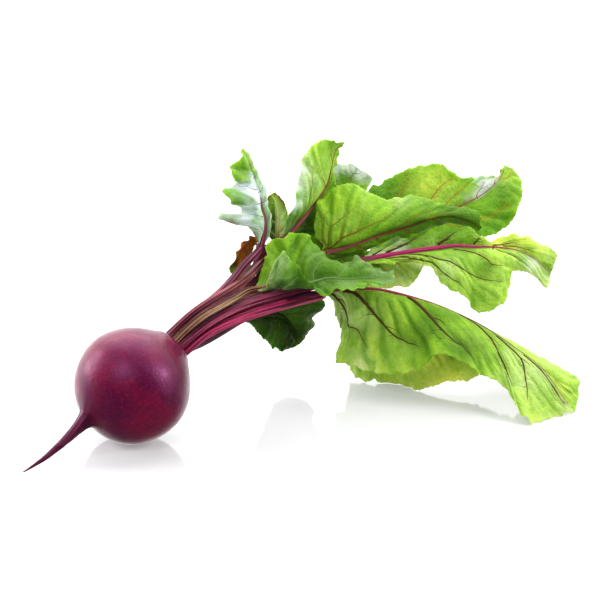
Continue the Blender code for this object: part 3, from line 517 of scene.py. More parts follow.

# Each leaf's looks. slots are the blade's and the stalk's. right and left are a half's colours at five even
# stops of its length, each beside the midrib and at the margin; the darkest are mostly painted shade and the
# palest partly painted highlight, sheen and glow. stalk is the colours of the stalk's ridges, grooves and
# streaks; the dark grooves are painted shade and the pale streaks partly painted highlight. rib_end is the
# midrib's colour towards the tip, green_from the share of the blade by which the midrib has it, and rib the
# midrib's share of the source's radius. veined is the veins' colour beside the midrib, their colour further
# out and how soon it comes. sizes are those that SIZES names: the count of side veins to a half, how far they
# lean towards the tip as a share of the blade's length, their radius, and six heights in millimetres. veins
# are side
# veins drawn as seen in the photo: a radius, then by turns a place, counted in the table's rows, and a column,
# from -1 at the left margin to 1 at the right. drawn_only are the halves, -1 and 1, with no other side veins.
# curls are a place, a half length in places and a height. zones are patches of colour: a place, a column, a
# reach in millimetres, a colour and its strength. Most dark zones are painted shade, and the pale, sheen and
# glow zones painted highlight, sheen and glow.
SIZES = ("laterals", "sweep", "vein", "folds", "pleats", "frill", "scallop", "teeth", "puff")
LOOKS = {
    "sprawling": dict(
        seed=11, slots=("bright_green_blade", "pink_stalk"), drawn_only=(1,), rib=0.8,
        # The pale tip of the right half is partly painted highlight.
        right=[(LIME, PALE), (BRIGHT, LIME), (BRIGHT, BRIGHT), (BRIGHT, LIME), (PALE, PALE)],
        # The left half's LIME and LEMON are partly painted light shining through the leaf.
        left=[(MID, BRIGHT), (LIME, LIME), (LIME, LEMON), (LIME, LIME), (LIME, LIME)],
        stalk=((0.40, 0.012, 0.085), MAROON, (0.55, 0.07, 0.16)), rib_end=(0.30, 0.12, 0.05),
        veined=(VEIN_RED, DARK, 0.5),
        sizes=(6, 0.14, 0.4, 1.0, 0.5, 1.2, 0.9, 1.3, 0.8),
        veins=[(0.9, 0.33, 0.05, 1.0, 0.42, 2.08, 0.7, 3.42, 0.72, 4.33, 0.86),
               (1.35, 1.58, 0.02, 3.25, 0.4, 4.25, 0.55, 5.08, 0.7, 6.17, 0.83),
               (1.2, 5.5, 0.02, 6.5, 0.45, 7.17, 0.74, 7.58, 0.8, 7.95, 0.88),
               (0.85, 7.9, 0.02, 9.08, 0.28, 9.5, 0.6, 9.75, 0.74),
               (0.7, 9.4, 0.02, 10.33, 0.23, 10.42, 0.6, 10.33, 0.8),
               (0.55, 10.4, 0.02, 11.42, 0.16, 12.0, 0.4, 12.1, 0.55)],
        # The DARK and SHADE zones are painted shade in its folds, the PALE ones painted highlight.
        zones=[(6.17, 0.68, 12, DARK, 0.75), (7.58, 0.85, 13, DARK, 0.85), (7.3, 0.4, 9, SHADE, 0.6),
               (3.67, 0.58, 11, PALE, 0.4), (2.08, 0.98, 5, LIME, 0.8), (3.5, 0.93, 6, LIME, 0.6),
               (10.6, 0.5, 14, PALE, 0.7), (8.58, 0.35, 8, LIME, 0.4), (4.33, 0.98, 9, PALE, 0.7),
               (5.42, 0.9, 8, LIME, 0.5), (11.17, 0.75, 12, BRIGHT, 0.6), (7.25, -0.8, 9, OLIVE, 0.6),
               (4.42, 0.38, 8, LIME, 0.45), (1.0, 0.35, 6, PALE, 0.8), (2.0, 0.75, 6, PALE, 0.9),
               (9.92, 0.35, 8, PALE, 0.4)]),
    "centre": dict(
        seed=12, slots=("mid_green_blade", "pink_stalk"), drawn_only=(-1,), rib=0.7, green_from=0.7,
        # The right half's SHADE, folded under, is painted shade.
        right=[(MID, MID), (MID, SHADE), (SHADE, SHADE), (SHADE, SHADE), (SHADE, MID)],
        left=[(BRIGHT, BRIGHT), (BRIGHT, BRIGHT), (MID, BRIGHT), (MID, MID), (SHADE, SHADE)],
        stalk=((0.40, 0.08, 0.10), MAROON, (0.60, 0.26, 0.20)), rib_end=(0.14, 0.03, 0.012),
        veined=(VEIN_BROWN, BRIGHT, 0.7),
        sizes=(6, 0.22, 0.36, 0.8, 0.45, 1.1, 0.7, 0.9, 0.7),
        veins=[(0.6, 0.1, -0.1, 0.5, -0.6, 1.2, -0.8, 2.0, -0.82, 2.4, -0.9),
               (0.72, 0.2, -0.1, 1.42, -0.6, 2.25, -0.62, 2.75, -0.65, 3.33, -0.72),
               (0.72, 0.6, -0.05, 1.83, -0.3, 3.0, -0.3, 4.0, -0.44, 4.67, -0.6, 5.25, -0.86),
               (0.24, 1.6, -0.22, 2.3, -0.5, 2.9, -0.8), (0.24, 3.0, -0.3, 3.5, -0.6, 3.9, -0.82),
               (0.5, 4.6, -0.03, 5.4, -0.23, 6.1, -0.5, 6.6, -0.8),
               (0.42, 6.2, -0.03, 6.9, -0.35, 7.6, -0.6, 8.1, -0.8)],
        # The DARK and SHADE zones are painted shade by its fold, the PALE one painted sheen.
        zones=[(3.4, -0.6, 9, SHADE, 0.5), (1.4, -0.8, 9, LIME, 0.4), (5.5, -0.2, 13, SHADE, 0.7),
               (8.08, -0.45, 15, DARK, 0.85), (5.33, -0.95, 7, PALE, 0.5), (3.83, -0.95, 9, LIME, 0.4),
               (2.5, -0.53, 8, LIME, 0.6), (6.33, -0.08, 5, DARK, 0.7)]),
    "right": dict(
        seed=13, slots=("mid_green_blade", "pink_stalk"), drawn_only=(1, -1), rib=0.72, green_from=0.12,
        right=[(BRIGHT, BRIGHT), (BRIGHT, LIME), (LIME, LIME), (LIME, LIME), (LIME, PALE)],
        # The green sheen beside the midrib is painted sheen.
        left=[(GREEN_SHEEN, BRIGHT), (LIME, BRIGHT), (BRIGHT, BRIGHT), (LIME, LEMON), (LIME, PALE)],
        stalk=((0.22, 0.015, 0.065), MAROON, (0.45, 0.12, 0.15)), rib_end=(0.38, 0.018, 0.12),
        veined=(VEIN_RED, SHADE, 0.45),
        sizes=(6, 0.2, 0.4, 0.9, 0.5, 1.2, 0.8, 1.0, 0.8),
        veins=[(0.95, 1.3, -0.03, 2.0, -0.3, 2.6, -0.55, 3.2, -0.9),
               (0.95, 4.0, -0.03, 4.6, -0.33, 5.3, -0.9), (0.75, 6.0, -0.03, 6.3, -0.4, 6.6, -0.85),
               (0.6, 0.5, -0.03, 0.92, -0.23, 1.58, -0.55, 2.2, -0.9),
               (0.75, 1.2, 0.04, 1.9, 0.5, 2.5, 0.8, 3.67, 0.72, 4.58, 0.8, 5.42, 0.9),
               (0.62, 2.3, 0.04, 3.1, 0.35, 4.42, 0.4, 5.08, 0.48, 5.92, 0.5, 6.5, 0.6, 7.25, 0.78),
               (0.5, 4.9, 0.04, 6.0, 0.08, 6.67, 0.25, 6.95, 0.42, 7.9, 0.6),
               (0.42, 7.2, 0.03, 7.9, -0.2, 8.8, -0.5), (0.26, 8.0, -0.03, 8.9, -0.16, 9.7, -0.3),
               (0.45, 7.5, 0.02, 8.58, 0.3, 9.17, 0.6)],
        # The DARK and SHADE zones are painted shade, the white-sheen zones painted sheen.
        zones=[(4.67, 0.8, 8, LIME, 0.7), (6.67, 0.4, 7, DARK, 0.7), (7.83, -0.35, 9, LEMON, 0.8),
               (9.17, -0.2, 8, LEMON, 0.7), (10, 0.38, 8, WHITE_SHEEN, 0.5), (11.08, 0.23, 7, PALE, 0.9),
               (2.08, -0.2, 6, WHITE_SHEEN, 0.6), (4.25, -0.25, 7, BRIGHT, 0.6), (3.33, -0.18, 6, PALE, 0.4),
               (5.75, -0.35, 8, SHADE, 0.7), (5.92, 0.75, 7, MID, 0.6), (4.42, 0.55, 7, PALE, 0.6),
               (3.0, -0.5, 11, SHADE, 0.8), (4.6, -0.6, 9, SHADE, 0.8), (2.6, -0.1, 4, MID, 0.7),
               (6.0, 0.35, 8, MID, 0.6), (9.33, 0.98, 6, OLIVE, 0.5)]),
    "far": dict(
        seed=14, slots=("olive_green_blade", "tan_stalk"), green_from=1.2,
        right=[(OLIVE, MID), (MID, MID), (MID, MID), (MID, MID), (BRIGHT, LIME)],
        left=[(SHADE, SHADE), (MID, SHADE), (LIME, MID), (LIME, MID), (LIME, LIME)],
        stalk=(TAN, MAROON, PINK), rib_end=(0.30, 0.20, 0.05),
        veined=(RUST, OLIVE, 0.6),
        sizes=(6, 0.18, 0.34, 1.0, 0.45, 1.2, 0.9, 0.9, 0.8),
        veins=[(0.42, 4.2, -0.04, 4.6, -0.25, 5.08, -0.5, 5.5, -0.73, 6.0, -0.92),
               (0.38, 2.6, -0.04, 3.0, -0.35, 3.5, -0.62, 3.83, -0.85),
               (0.4, 6.2, 0.03, 6.67, 0.55, 7.58, 0.65, 8.0, 0.78)],
        # The SHADE zones are painted shade, the white-sheen zones painted sheen.
        zones=[(4.58, -0.6, 13, LEMON, 0.85), (3.0, -0.7, 12, SHADE, 0.75), (7.67, -0.1, 7, WHITE_SHEEN, 1),
               (7.08, -0.03, 4, WHITE_SHEEN, 0.8), (7.58, 0.6, 12, MID, 0.7), (9.17, 0.53, 8, LIME, 0.6),
               (5.83, -0.18, 9, LIME, 0.5), (6.25, -0.83, 8, MID, 0.5), (7.0, 0.76, 11, SHADE, 0.8),
               (8.17, 0.4, 8, SHADE, 0.75), (2.83, -0.55, 10, SHADE, 0.8), (7.25, -0.05, 4, WHITE_SHEEN, 1),
               (8.25, -0.06, 4, WHITE_SHEEN, 0.9)]),
    "tall": dict(
        seed=15, slots=("bright_green_blade", "pink_stalk"), rib=0.8, green_from=1.1,
        # The dark right half is painted shade; the left half's green sheen is painted sheen.
        right=[(SHADE, DARK), (DARK, DARK), (MID, MID), (BRIGHT, LIME), (LIME, LIME)],
        left=[(MID, SAGE), (BRIGHT, MID), (LIME, GREEN_SHEEN), (LIME, LIME), (LIME, BRIGHT)],
        stalk=((0.30, 0.05, 0.08), MAROON, TAN), rib_end=(0.42, 0.20, 0.09),
        veined=(VEIN_BROWN, BRIGHT, 0.6),
        sizes=(4, 0.26, 0.32, 0.9, 0.4, 0.8, 0.6, 0.8, 0.6),
        veins=[(0.38, 1.4, -0.03, 2.17, -0.28, 3.58, -0.6, 5.33, -0.74),
               (0.36, 3.6, 0.03, 4.2, 0.3, 5.0, 0.6)],
        # The white-sheen zones along the left edge are painted sheen; the DARK and DEEP zones painted shade.
        zones=[(3.75, -0.98, 4, WHITE_SHEEN, 0.9), (3.08, -0.97, 4, WHITE_SHEEN, 0.9), (2, -0.96, 4, WHITE_SHEEN, 0.8),
               (6, -0.48, 10, LIME, 0.6), (1.75, -0.05, 7, DARK, 0.6), (1.08, -0.4, 6, SAGE, 0.6),
               (3.42, -0.55, 7, MID, 0.4), (1.6, 0.4, 12, DEEP, 0.7), (0.7, -0.6, 6, SAGE, 0.8)]),
    "curled": dict(
        seed=16, slots=("silver_green_blade", "purple_stalk"), green_from=0.9,
        # Its green and white sheen is painted sheen over its paler underside.
        right=[(GREEN_SHEEN, BROWN), (GREEN_SHEEN, GREEN_SHEEN), (GREEN_SHEEN, MID), (MID, BRIGHT), (BRIGHT, BRIGHT)],
        left=[(SAGE, SHADE), (SAGE, GREEN_SHEEN), (GREEN_SHEEN, GREEN_SHEEN), (BRIGHT, GREEN_SHEEN), (BRIGHT, LIME)],
        stalk=(PURPLE, MAROON, PINK), rib_end=SAGE,
        veined=(PURPLE, GREEN_SHEEN, 1.1),
        sizes=(6, 0.12, 0.26, 1.0, 0.4, 1.4, 0.8, 0.9, 0.5),
        curls=[(2.8, 0.45, 4.0), (5.4, 0.5, 5.0), (4.2, 0.5, -3.2), (6.4, 0.4, -3.0), (7.1, 0.4, 3.2),
               (7.9, 0.4, -2.0), (2.1, 0.3, -2.0)],
        # The white-sheen zones are painted sheen, partly its paler underside; the SHADE zone near place 3.9 is
        # painted shade between two curls.
        zones=[(4.92, 0.83, 4, MID, 0.9), (3.9, 0.9, 6, SHADE, 0.9), (4.2, 0.5, 4, MID, 0.9),
               (3.42, 0.4, 4, MID, 0.75), (7.5, 0.4, 6, BRIGHT, 0.85), (8.5, 0.5, 6, BRIGHT, 0.85),
               (6.9, 0.75, 4, MID, 0.8), (2.5, 0.4, 3, SHADE, 0.9), (5.6, 0.7, 4, WHITE_SHEEN, 1),
               (5.1, 0.35, 5, WHITE_SHEEN, 1), (4.3, 0.1, 5, WHITE_SHEEN, 1), (6.2, 0.1, 4, WHITE_SHEEN, 0.9),
               (3.25, 0.65, 4, WHITE_SHEEN, 1), (2.85, 0.95, 4, WHITE_SHEEN, 1), (3.4, 0.15, 4, WHITE_SHEEN, 0.9),
               (2.1, 0.6, 3.5, WHITE_SHEEN, 0.95), (1.6, 0.98, 4, BROWN, 0.95)]),
    "draped": dict(
        seed=17, slots=("mid_green_blade", "olive_stalk"), green_from=0.3,
        # Its darker stops are painted shade under its fold.
        right=[(SAGE, VEIN_PALE), (SAGE, MID), (DARK, SHADE), (SHADE, MID), (SAGE, SAGE)],
        left=[(MID, BRIGHT), (BRIGHT, BRIGHT), (SHADE, MID), (SHADE, SAGE), (SAGE, SAGE)],
        stalk=((0.32, 0.16, 0.075), MAROON, (0.45, 0.36, 0.17)), rib_end=SAGE,
        veined=((0.17, 0.28, 0.09), MID, 0.7),
        sizes=(6, 0.16, 0.3, 1.1, 0.5, 1.2, 0.9, 1.1, 0.8),
        veins=[(0.55, 0.3, 0.2, 1.0, 0.85, 1.6, 0.92, 2.15, 0.95),
               (0.5, 0.3, 0.2, 0.7, 0.7, 1.67, 0.73, 2.6, 0.86),
               (0.45, 0.3, 0.15, 0.83, 0.6, 2.33, 0.62, 3.6, 0.84)],
        # The DEEP, DARK and SHADE zones are painted shade under its fold.
        zones=[(2.08, 0.88, 6, (0.22, 0.38, 0.10), 0.8), (1.92, -0.85, 8, BRIGHT, 0.8),
               (2.67, 0.35, 6, DEEP, 0.9), (3.6, 0.45, 7, DEEP, 0.9), (1.3, 0.3, 5, DEEP, 0.9),
               (3.25, -0.8, 9, MID, 0.6), (2.42, 0.4, 6, DEEP, 0.8), (6.0, 0.33, 9, DARK, 0.8),
               (1.92, -0.6, 7, LIME, 0.5), (5.75, -0.75, 10, SAGE, 0.7), (5.5, -0.15, 8, DARK, 0.9),
               (7.2, 0.1, 9, SHADE, 0.7), (6.92, 0.28, 8, SAGE, 0.6), (3.42, 0.65, 5, DARK, 0.8),
               (6.08, -0.35, 7, SHADE, 0.7), (8.75, -0.83, 8, SAGE, 0.7)]),
    "under": dict(
        seed=18, slots=("dark_green_blade", "purple_stalk"), green_from=0.5,
        # Dark all over: painted shade, for it lies in the shade under the bunch.
        right=[(DEEP, DARK), (DEEP, DEEP), (DEEP, DARK), (DEEP, DEEP), (DARK, DARK)],
        left=[(DEEP, DARK), (DEEP, DARK), (DARK, DEEP), (DEEP, DARK), (DARK, DARK)],
        stalk=(MAROON, PURPLE, CRIMSON), rib_end=DEEP,
        veined=(VEIN_RED, DARK, 0.8),
        sizes=(5, 0.16, 0.36, 1.0, 0.5, 1.0, 0.9, 1.0, 0.8)),
    "yellow": dict(
        seed=19, slots=("yellow_green_blade", "tan_stalk"), green_from=0.8,
        right=[(LIME, LIME), (LIME, LEMON), (LEMON, LEMON), (LEMON, LEMON), (LEMON, LEMON)],
        left=[(BRIGHT, MID), (BRIGHT, BRIGHT), (LIME, LIME), (LEMON, LIME), (LEMON, LEMON)],
        stalk=(TAN, MAROON, OLIVE), rib_end=LIME,
        veined=(VEIN_BROWN, LEMON, 0.8),
        sizes=(4, 0.18, 0.28, 0.9, 0.45, 1.0, 0.8, 0.9, 0.7),
        # The GLOW zones are painted light shining through the leaf.
        zones=[(3.7, 0.8, 14, GLOW, 1), (2.5, 0.9, 11, GLOW, 1), (4.4, 0.6, 12, GLOW, 1),
               (3.9, 0.2, 9, LEMON, 1)]),
    "rear": dict(
        seed=20, slots=("bright_green_blade", "tan_stalk"), green_from=0.6,
        # Its pale sheen towards the tip is painted sheen.
        right=[(SHADE, SHADE), (MID, MID), (MID, MID), (MID, BRIGHT), (BRIGHT, GREEN_SHEEN)],
        left=[(SHADE, SHADE), (MID, MID), (MID, GREEN_SHEEN), (MID, WHITE_SHEEN), (BRIGHT, WHITE_SHEEN)],
        stalk=(TAN, MAROON, OLIVE), rib_end=BRIGHT,
        veined=(VEIN_BROWN, BRIGHT, 0.9),
        sizes=(4, 0.16, 0.28, 0.8, 0.4, 0.9, 0.6, 0.8, 0.7),
        # The white-sheen zones are painted sheen.
        zones=[(3.92, -0.85, 6, WHITE_SHEEN, 1), (4.4, -0.5, 6, WHITE_SHEEN, 1), (5.0, 0.4, 6, WHITE_SHEEN, 1),
               (4.6, 0.95, 6, WHITE_SHEEN, 0.9), (3.3, -0.2, 8, MID, 0.8), (3.3, 0.6, 8, MID, 0.7)]),
    "small": dict(
        seed=21, slots=("dark_green_blade", "tan_stalk"), green_from=0.4,
        # The right half's GLOW is painted light through the leaf; the dark left half is painted shade.
        right=[(PALE, LEMON), (GLOW, PALE), (GLOW, LIME), (LIME, BROWN), (OLIVE, BROWN)],
        left=[(DEEP, DEEP), (DEEP, DEEP), (DARK, DARK), (SHADE, OLIVE), (OLIVE, BROWN)],
        stalk=(TAN, MAROON, OLIVE), rib_end=(0.70, 0.74, 0.26),
        veined=(VEIN_PALE, DARK, 0.8),
        sizes=(3, 0.16, 0.22, 0.7, 0.45, 0.8, 0.6, 0.7, 0.5),
        # The DEEP zones are painted shade, the GLOW ones painted light through the leaf.
        zones=[(1.7, -0.6, 6, DEEP, 1), (0.8, -0.8, 6, DEEP, 1), (1.42, 0.45, 5, GLOW, 1),
               (0.6, 0.8, 6, GLOW, 1)]),
    "withered": dict(
        seed=22, slots=("rust_blade", "tan_stalk"), green_from=0.4,
        right=[(DARK, DARK), (RUST, DARK), (RUST, BROWN), (BROWN, RUST), (RUST, BROWN)],
        left=[(DARK, DARK), (DARK, DARK), (RUST, SHADE), (RUST, BROWN), (BROWN, RUST)],
        stalk=(TAN, MAROON, RUST), rib_end=BROWN,
        veined=(BROWN, OLIVE, 0.8),
        sizes=(3, 0.16, 0.22, 1.2, 0.6, 1.4, 0.8, 0.8, 0.8),
        zones=[(2.83, -0.1, 6, RUST, 0.9), (0.75, 0.38, 5, DARK, 0.8)]),
    "heart": dict(
        seed=23, slots=("dark_green_blade", "purple_stalk"), green_from=0.4,
        # Its dark colours are painted shade in the gaps of the bunch.
        right=[(SHADE, MID), (SHADE, SHADE), (DARK, SHADE), (SHADE, MID), (MID, MID)],
        left=[(SHADE, MID), (DARK, DARK), (DARK, SHADE), (SHADE, MID), (MID, MID)],
        stalk=(MAROON, PURPLE, CRIMSON), rib_end=DARK,
        veined=(VEIN_RED, DARK, 0.8),
        sizes=(4, 0.16, 0.3, 0.9, 0.45, 0.9, 0.7, 0.8, 0.7)),
}
for look in LOOKS.values():
    look.update(zip(SIZES, look.pop("sizes")))
# A young leaf at the heart of the bunch, seen only between the others, that the source leaves out. Its dark
# green is painted shade that fills the bunch's gaps.
HEART = dict(
    foot=(-3.6, 2.6), radii=(1.1, 1.3), arch=(2.0, 2.0), ruffle=1.0, waves=3.5,
    stalk=[(41, 34, 57), (66, 58, 64), (91, 76, 65)],
    rows=[(105, 88, 66, 104, 88, 67, 103, 88, 69), (115, 100, 71, 110, 100, 73, 106, 100, 82),
          (127, 106, 70, 118, 106, 79, 108, 110, 88), (139, 108, 70, 127, 109, 82, 112, 112, 95),
          (148, 109, 73, 136, 110, 83, 122, 113, 95), (152, 110, 77, 146, 110, 82, 137, 112, 88),
          (154, 110, 80, 153, 110, 81, 152, 110, 82)])
# Thin young stalks inside the bunch, that the source leaves out; dark, they also paint the shade in the
# bunch's gaps
YOUNG_STALKS = {
    "a": dict(seed=31, foot=(0.5, -1.5), radius=2.6, stalk=(PURPLE, MAROON, CRIMSON), rib_end=MAROON,
              line=[(43, 54, 57), (62, 70, 74), (75, 82, 86), (82, 88, 97)]),
    "b": dict(seed=32, foot=(-1.0, 0.5), radius=2.4, stalk=(MAROON, MAROON, PINK), rib_end=MAROON,
              line=[(44, 46, 57), (63, 64, 69), (76, 78, 78), (84, 86, 89)]),
    "c": dict(seed=33, foot=(-4.0, 1.5), radius=2.6, stalk=(MAROON, PURPLE, CRIMSON), rib_end=MAROON,
              line=[(44, 33, 56), (69, 48, 64), (94, 64, 67), (104, 70, 69), (115, 76, 69), (125, 84, 70)]),
    "d": dict(seed=34, foot=(-2.0, 2.5), radius=2.4, stalk=(PURPLE, MAROON, PINK), rib_end=MAROON,
              line=[(50, 58, 56), (62, 72, 66), (71, 82, 74), (75, 92, 84), (77, 97, 95)]),
}


class Nodes:
    """A node tree with short calls for the nodes used here."""

    def __init__(self, owner, end="Principled BSDF"):
        owner.use_nodes = True
        self.tree = owner.node_tree
        self.end = self.tree.nodes[end]
        self.place = self.add("ShaderNodeTexCoord").outputs["Object"]

    def add(self, kind, inputs=(), **settings):
        """A new node with its settings, and with its inputs joined or set."""
        node = self.tree.nodes.new(kind)
        for key, value in settings.items():
            setattr(node, key, value)
        return self.fill(node, dict(inputs))

    def fill(self, node, inputs):
        """Joins an output to each input, or sets the input where there is a number or a colour."""
        for key, source in inputs.items():
            socket = node.inputs[key]
            if isinstance(source, bpy.types.NodeSocket):
                self.tree.links.new(source, socket)
            elif isinstance(source, tuple) and len(source) == 3 and socket.type == "RGBA":
                socket.default_value = (*source, 1.0)
            else:
                socket.default_value = source
        return node

    def attribute(self, name, output="Fac"):
        return self.add("ShaderNodeAttribute", attribute_name=name).outputs[output]

    def colour(self, name):
        return self.attribute(name, "Color")

    def noise(self, size, detail=3.0):
        """Noise whose patches are about this many millimetres across."""
        inputs = {"Scale": 1000.0 / size, "Detail": detail, "Roughness": 0.55, "Vector": self.place}
        return self.add("ShaderNodeTexNoise", inputs).outputs["Fac"]

    def net(self, size, shift):
        """How far a point is from the lines of a net of cells about this many millimetres across."""
        inputs = {"Scale": 1000.0 / size, "Vector": shift}
        return self.add("ShaderNodeTexVoronoi", inputs, feature="DISTANCE_TO_EDGE").outputs["Distance"]

    def range(self, source, low, high, out_low=0.0, out_high=1.0):
        inputs = {"Value": source, "From Min": low, "From Max": high, "To Min": out_low, "To Max": out_high}
        return self.add("ShaderNodeMapRange", inputs, interpolation_type="SMOOTHSTEP").outputs["Result"]

    def mix(self, share, first, second, blend="MIX"):
        inputs = {0: share, 6: first, 7: second}
        return self.add("ShaderNodeMix", inputs, data_type="RGBA", blend_type=blend).outputs[2]

    def tinted(self, colour, *tints):
        """The colour multiplied by each tint, as far as the tint's share says."""
        for share, tint in tints:
            colour = self.mix(share, colour, tint, "MULTIPLY")
        return colour

    def times(self, first, second):
        return self.add("ShaderNodeMath", {0: first, 1: second}, operation="MULTIPLY").outputs[0]

    def vector(self, operation, inputs):
        return self.add("ShaderNodeVectorMath", inputs, operation=operation).outputs[0]

    def shaken(self, size, reach):
        """The surface's place moved about by noise, up to reach millimetres, so that a net's lines bend."""
        noise = self.add("ShaderNodeTexNoise", {"Scale": 1000.0 / size, "Detail": 2.0, "Vector": self.place})
        centred = self.vector("SUBTRACT", {0: noise.outputs["Color"], 1: (0.5, 0.5, 0.5)})
        away = self.vector("SCALE", {0: centred, "Scale": 2 * reach * MM})
        return self.vector("ADD", {0: self.place, 1: away})

    def bumps(self, *layers):
        """Bumps laid over each other: heights from 0 to 1, each with its millimetres."""
        normal = {}
        for height, depth in layers:
            inputs = {"Strength": 1.0, "Distance": depth * MM, "Height": height, **normal}
            normal = {"Normal": self.add("ShaderNodeBump", inputs).outputs["Normal"]}
        return normal


def leaf_skin(nodes):
    """A leaf: its tint with soft patches, painted highlight on the crests of its fine folds and painted shade
    in their hollows, a painted highlight along its margin, and a faint net of veins. Where the tint is pale,
    mostly painted sheen, the tint is kept clean."""
    patch, fine = nodes.noise(24, 3), nodes.noise(4, 4)
    shaken = nodes.shaken(6, 0.9)
    coarse, tiny = nodes.net(3.4, shaken), nodes.net(1.0, shaken)
    own, streak, under = nodes.colour("tint"), nodes.attribute("streak"), nodes.attribute("under")
    line = nodes.times(nodes.range(coarse, 0.0, 0.10, 0.6, 0.0), nodes.range(patch, 0.35, 0.6))
    # Lighter where the fine folds rise and darker where they sink: painted highlight and painted shade on the
    # folds.
    colour = nodes.tinted(own, (nodes.range(patch, 0.52, 0.72, 0.0, 0.7), (1.35, 1.22, 1.1)),
                          (nodes.range(patch, 0.48, 0.3, 0.0, 0.75), (0.55, 0.68, 0.4)),
                          (nodes.range(streak, 0.0, 0.7, 0.0, 0.8), (1.5, 1.3, 1.3)),
                          (nodes.range(streak, 0.0, -0.7, 0.0, 0.8), (0.5, 0.66, 0.3)),
                          (nodes.range(fine, 0.35, 0.72, 0.0, 0.45), (0.6, 0.72, 0.45)),
                          (line, (1.4, 1.25, 1.5)),
                          (nodes.times(nodes.attribute("minor"), 0.5), (1.35, 1.2, 1.4)))
    halo = nodes.times(nodes.attribute("halo"), nodes.range(fine, 0.25, 0.75, 0.05, 0.3))
    # Paler along the margin: a painted highlight on the leaf's rim.
    rim = nodes.times(nodes.attribute("rim"), nodes.range(fine, 0.3, 0.7, 0.2, 0.8))
    colour = nodes.tinted(nodes.mix(halo, colour, nodes.colour("vein_tint")), (rim, (1.6, 1.35, 1.8)),
                          (nodes.times(under, 0.7), (1.15, 1.08, 1.7)))
    gloss = nodes.range(nodes.noise(7, 3), 0.3, 0.7, 0.4, 0.6)
    # Where the tint is pale, mostly a painted sheen and highlight, it is kept mostly free of the patches,
    # folds and net.
    return {
        "Base Color": nodes.mix(nodes.times(nodes.attribute("painted_sheen"), 0.75), colour, own),
        "Roughness": nodes.add("ShaderNodeMath", {0: gloss, 1: nodes.times(under, 0.12)}).outputs[0],
        "Specular IOR Level": 0.13, "Specular Tint": (0.85, 1.0, 0.5), "Subsurface Weight": 0.45,
        "Subsurface Radius": (0.9, 1.2, 0.12), "Subsurface Scale": 0.0015,
        **nodes.bumps((nodes.noise(1.2, 3), 0.12), (nodes.range(tiny, 0.0, 0.3), 0.08),
                      (nodes.range(coarse, 0.0, 0.35), 0.26))}


def vein_skin(nodes):
    streak = nodes.noise(2.2, 3)
    dark = nodes.range(streak, 0.45, 0.75, 0.0, 0.5)
    return {
        "Base Color": nodes.mix(dark, nodes.colour("tint"), (0.10, 0.03, 0.008)),
        "Roughness": nodes.range(streak, 0.3, 0.7, 0.38, 0.55), "Specular IOR Level": 0.08,
        "Subsurface Weight": 0.03, "Subsurface Radius": (1.0, 0.4, 0.2), "Subsurface Scale": 0.0006,
        **nodes.bumps((nodes.noise(0.8, 2), 0.05))}


def stalk_skin(nodes):
    """A stalk: light ridges and dark grooves that run lengthwise, the grooves' darkness painted shade, with
    streaks of a third colour that are partly the stalk's own and partly painted highlight.
    """
    lengthwise = nodes.add("ShaderNodeCombineXYZ", {
        k: nodes.times(nodes.attribute(name), scale)
        for k, (name, scale) in enumerate((("around_x", 3.0), ("around_y", 3.0), ("way", 12.0)))}).outputs[0]
    broad, thin = (nodes.add("ShaderNodeTexNoise", {"Scale": scale, "Detail": detail, "Vector": lengthwise})
                   .outputs["Fac"] for scale, detail in ((0.7, 2.0), (2.6, 3.0)))
    dark, pale = nodes.colour("groove_tint"), nodes.colour("streak_tint")
    # Dark grooves: painted shade. Pale streaks: partly the stalk's own, partly painted highlight.
    colour = nodes.mix(nodes.range(nodes.attribute("ridge"), -0.5, 0.4), dark, nodes.colour("tint"))
    for source, low, high, share, tint in ((broad, 0.52, 0.62, 0.6, pale), (broad, 0.48, 0.38, 0.9, dark),
                                           (thin, 0.58, 0.66, 0.5, pale), (thin, 0.48, 0.38, 0.9, dark)):
        colour = nodes.mix(nodes.range(source, low, high, 0.0, share), colour, tint)
    shade = nodes.range(nodes.noise(3.0, 3), 0.35, 0.7, 0.0, 0.4)
    return {
        "Base Color": nodes.tinted(colour, (shade, (0.5, 0.35, 0.4))),
        "Roughness": nodes.range(thin, 0.3, 0.7, 0.34, 0.5),
        "Specular IOR Level": 0.2, "Specular Tint": (1.0, 0.5, 0.65), "Subsurface Weight": 0.05,
        "Subsurface Radius": (1.0, 0.2, 0.3), "Subsurface Scale": 0.001,
        **nodes.bumps((thin, 0.16), (nodes.noise(0.9, 2), 0.04))}


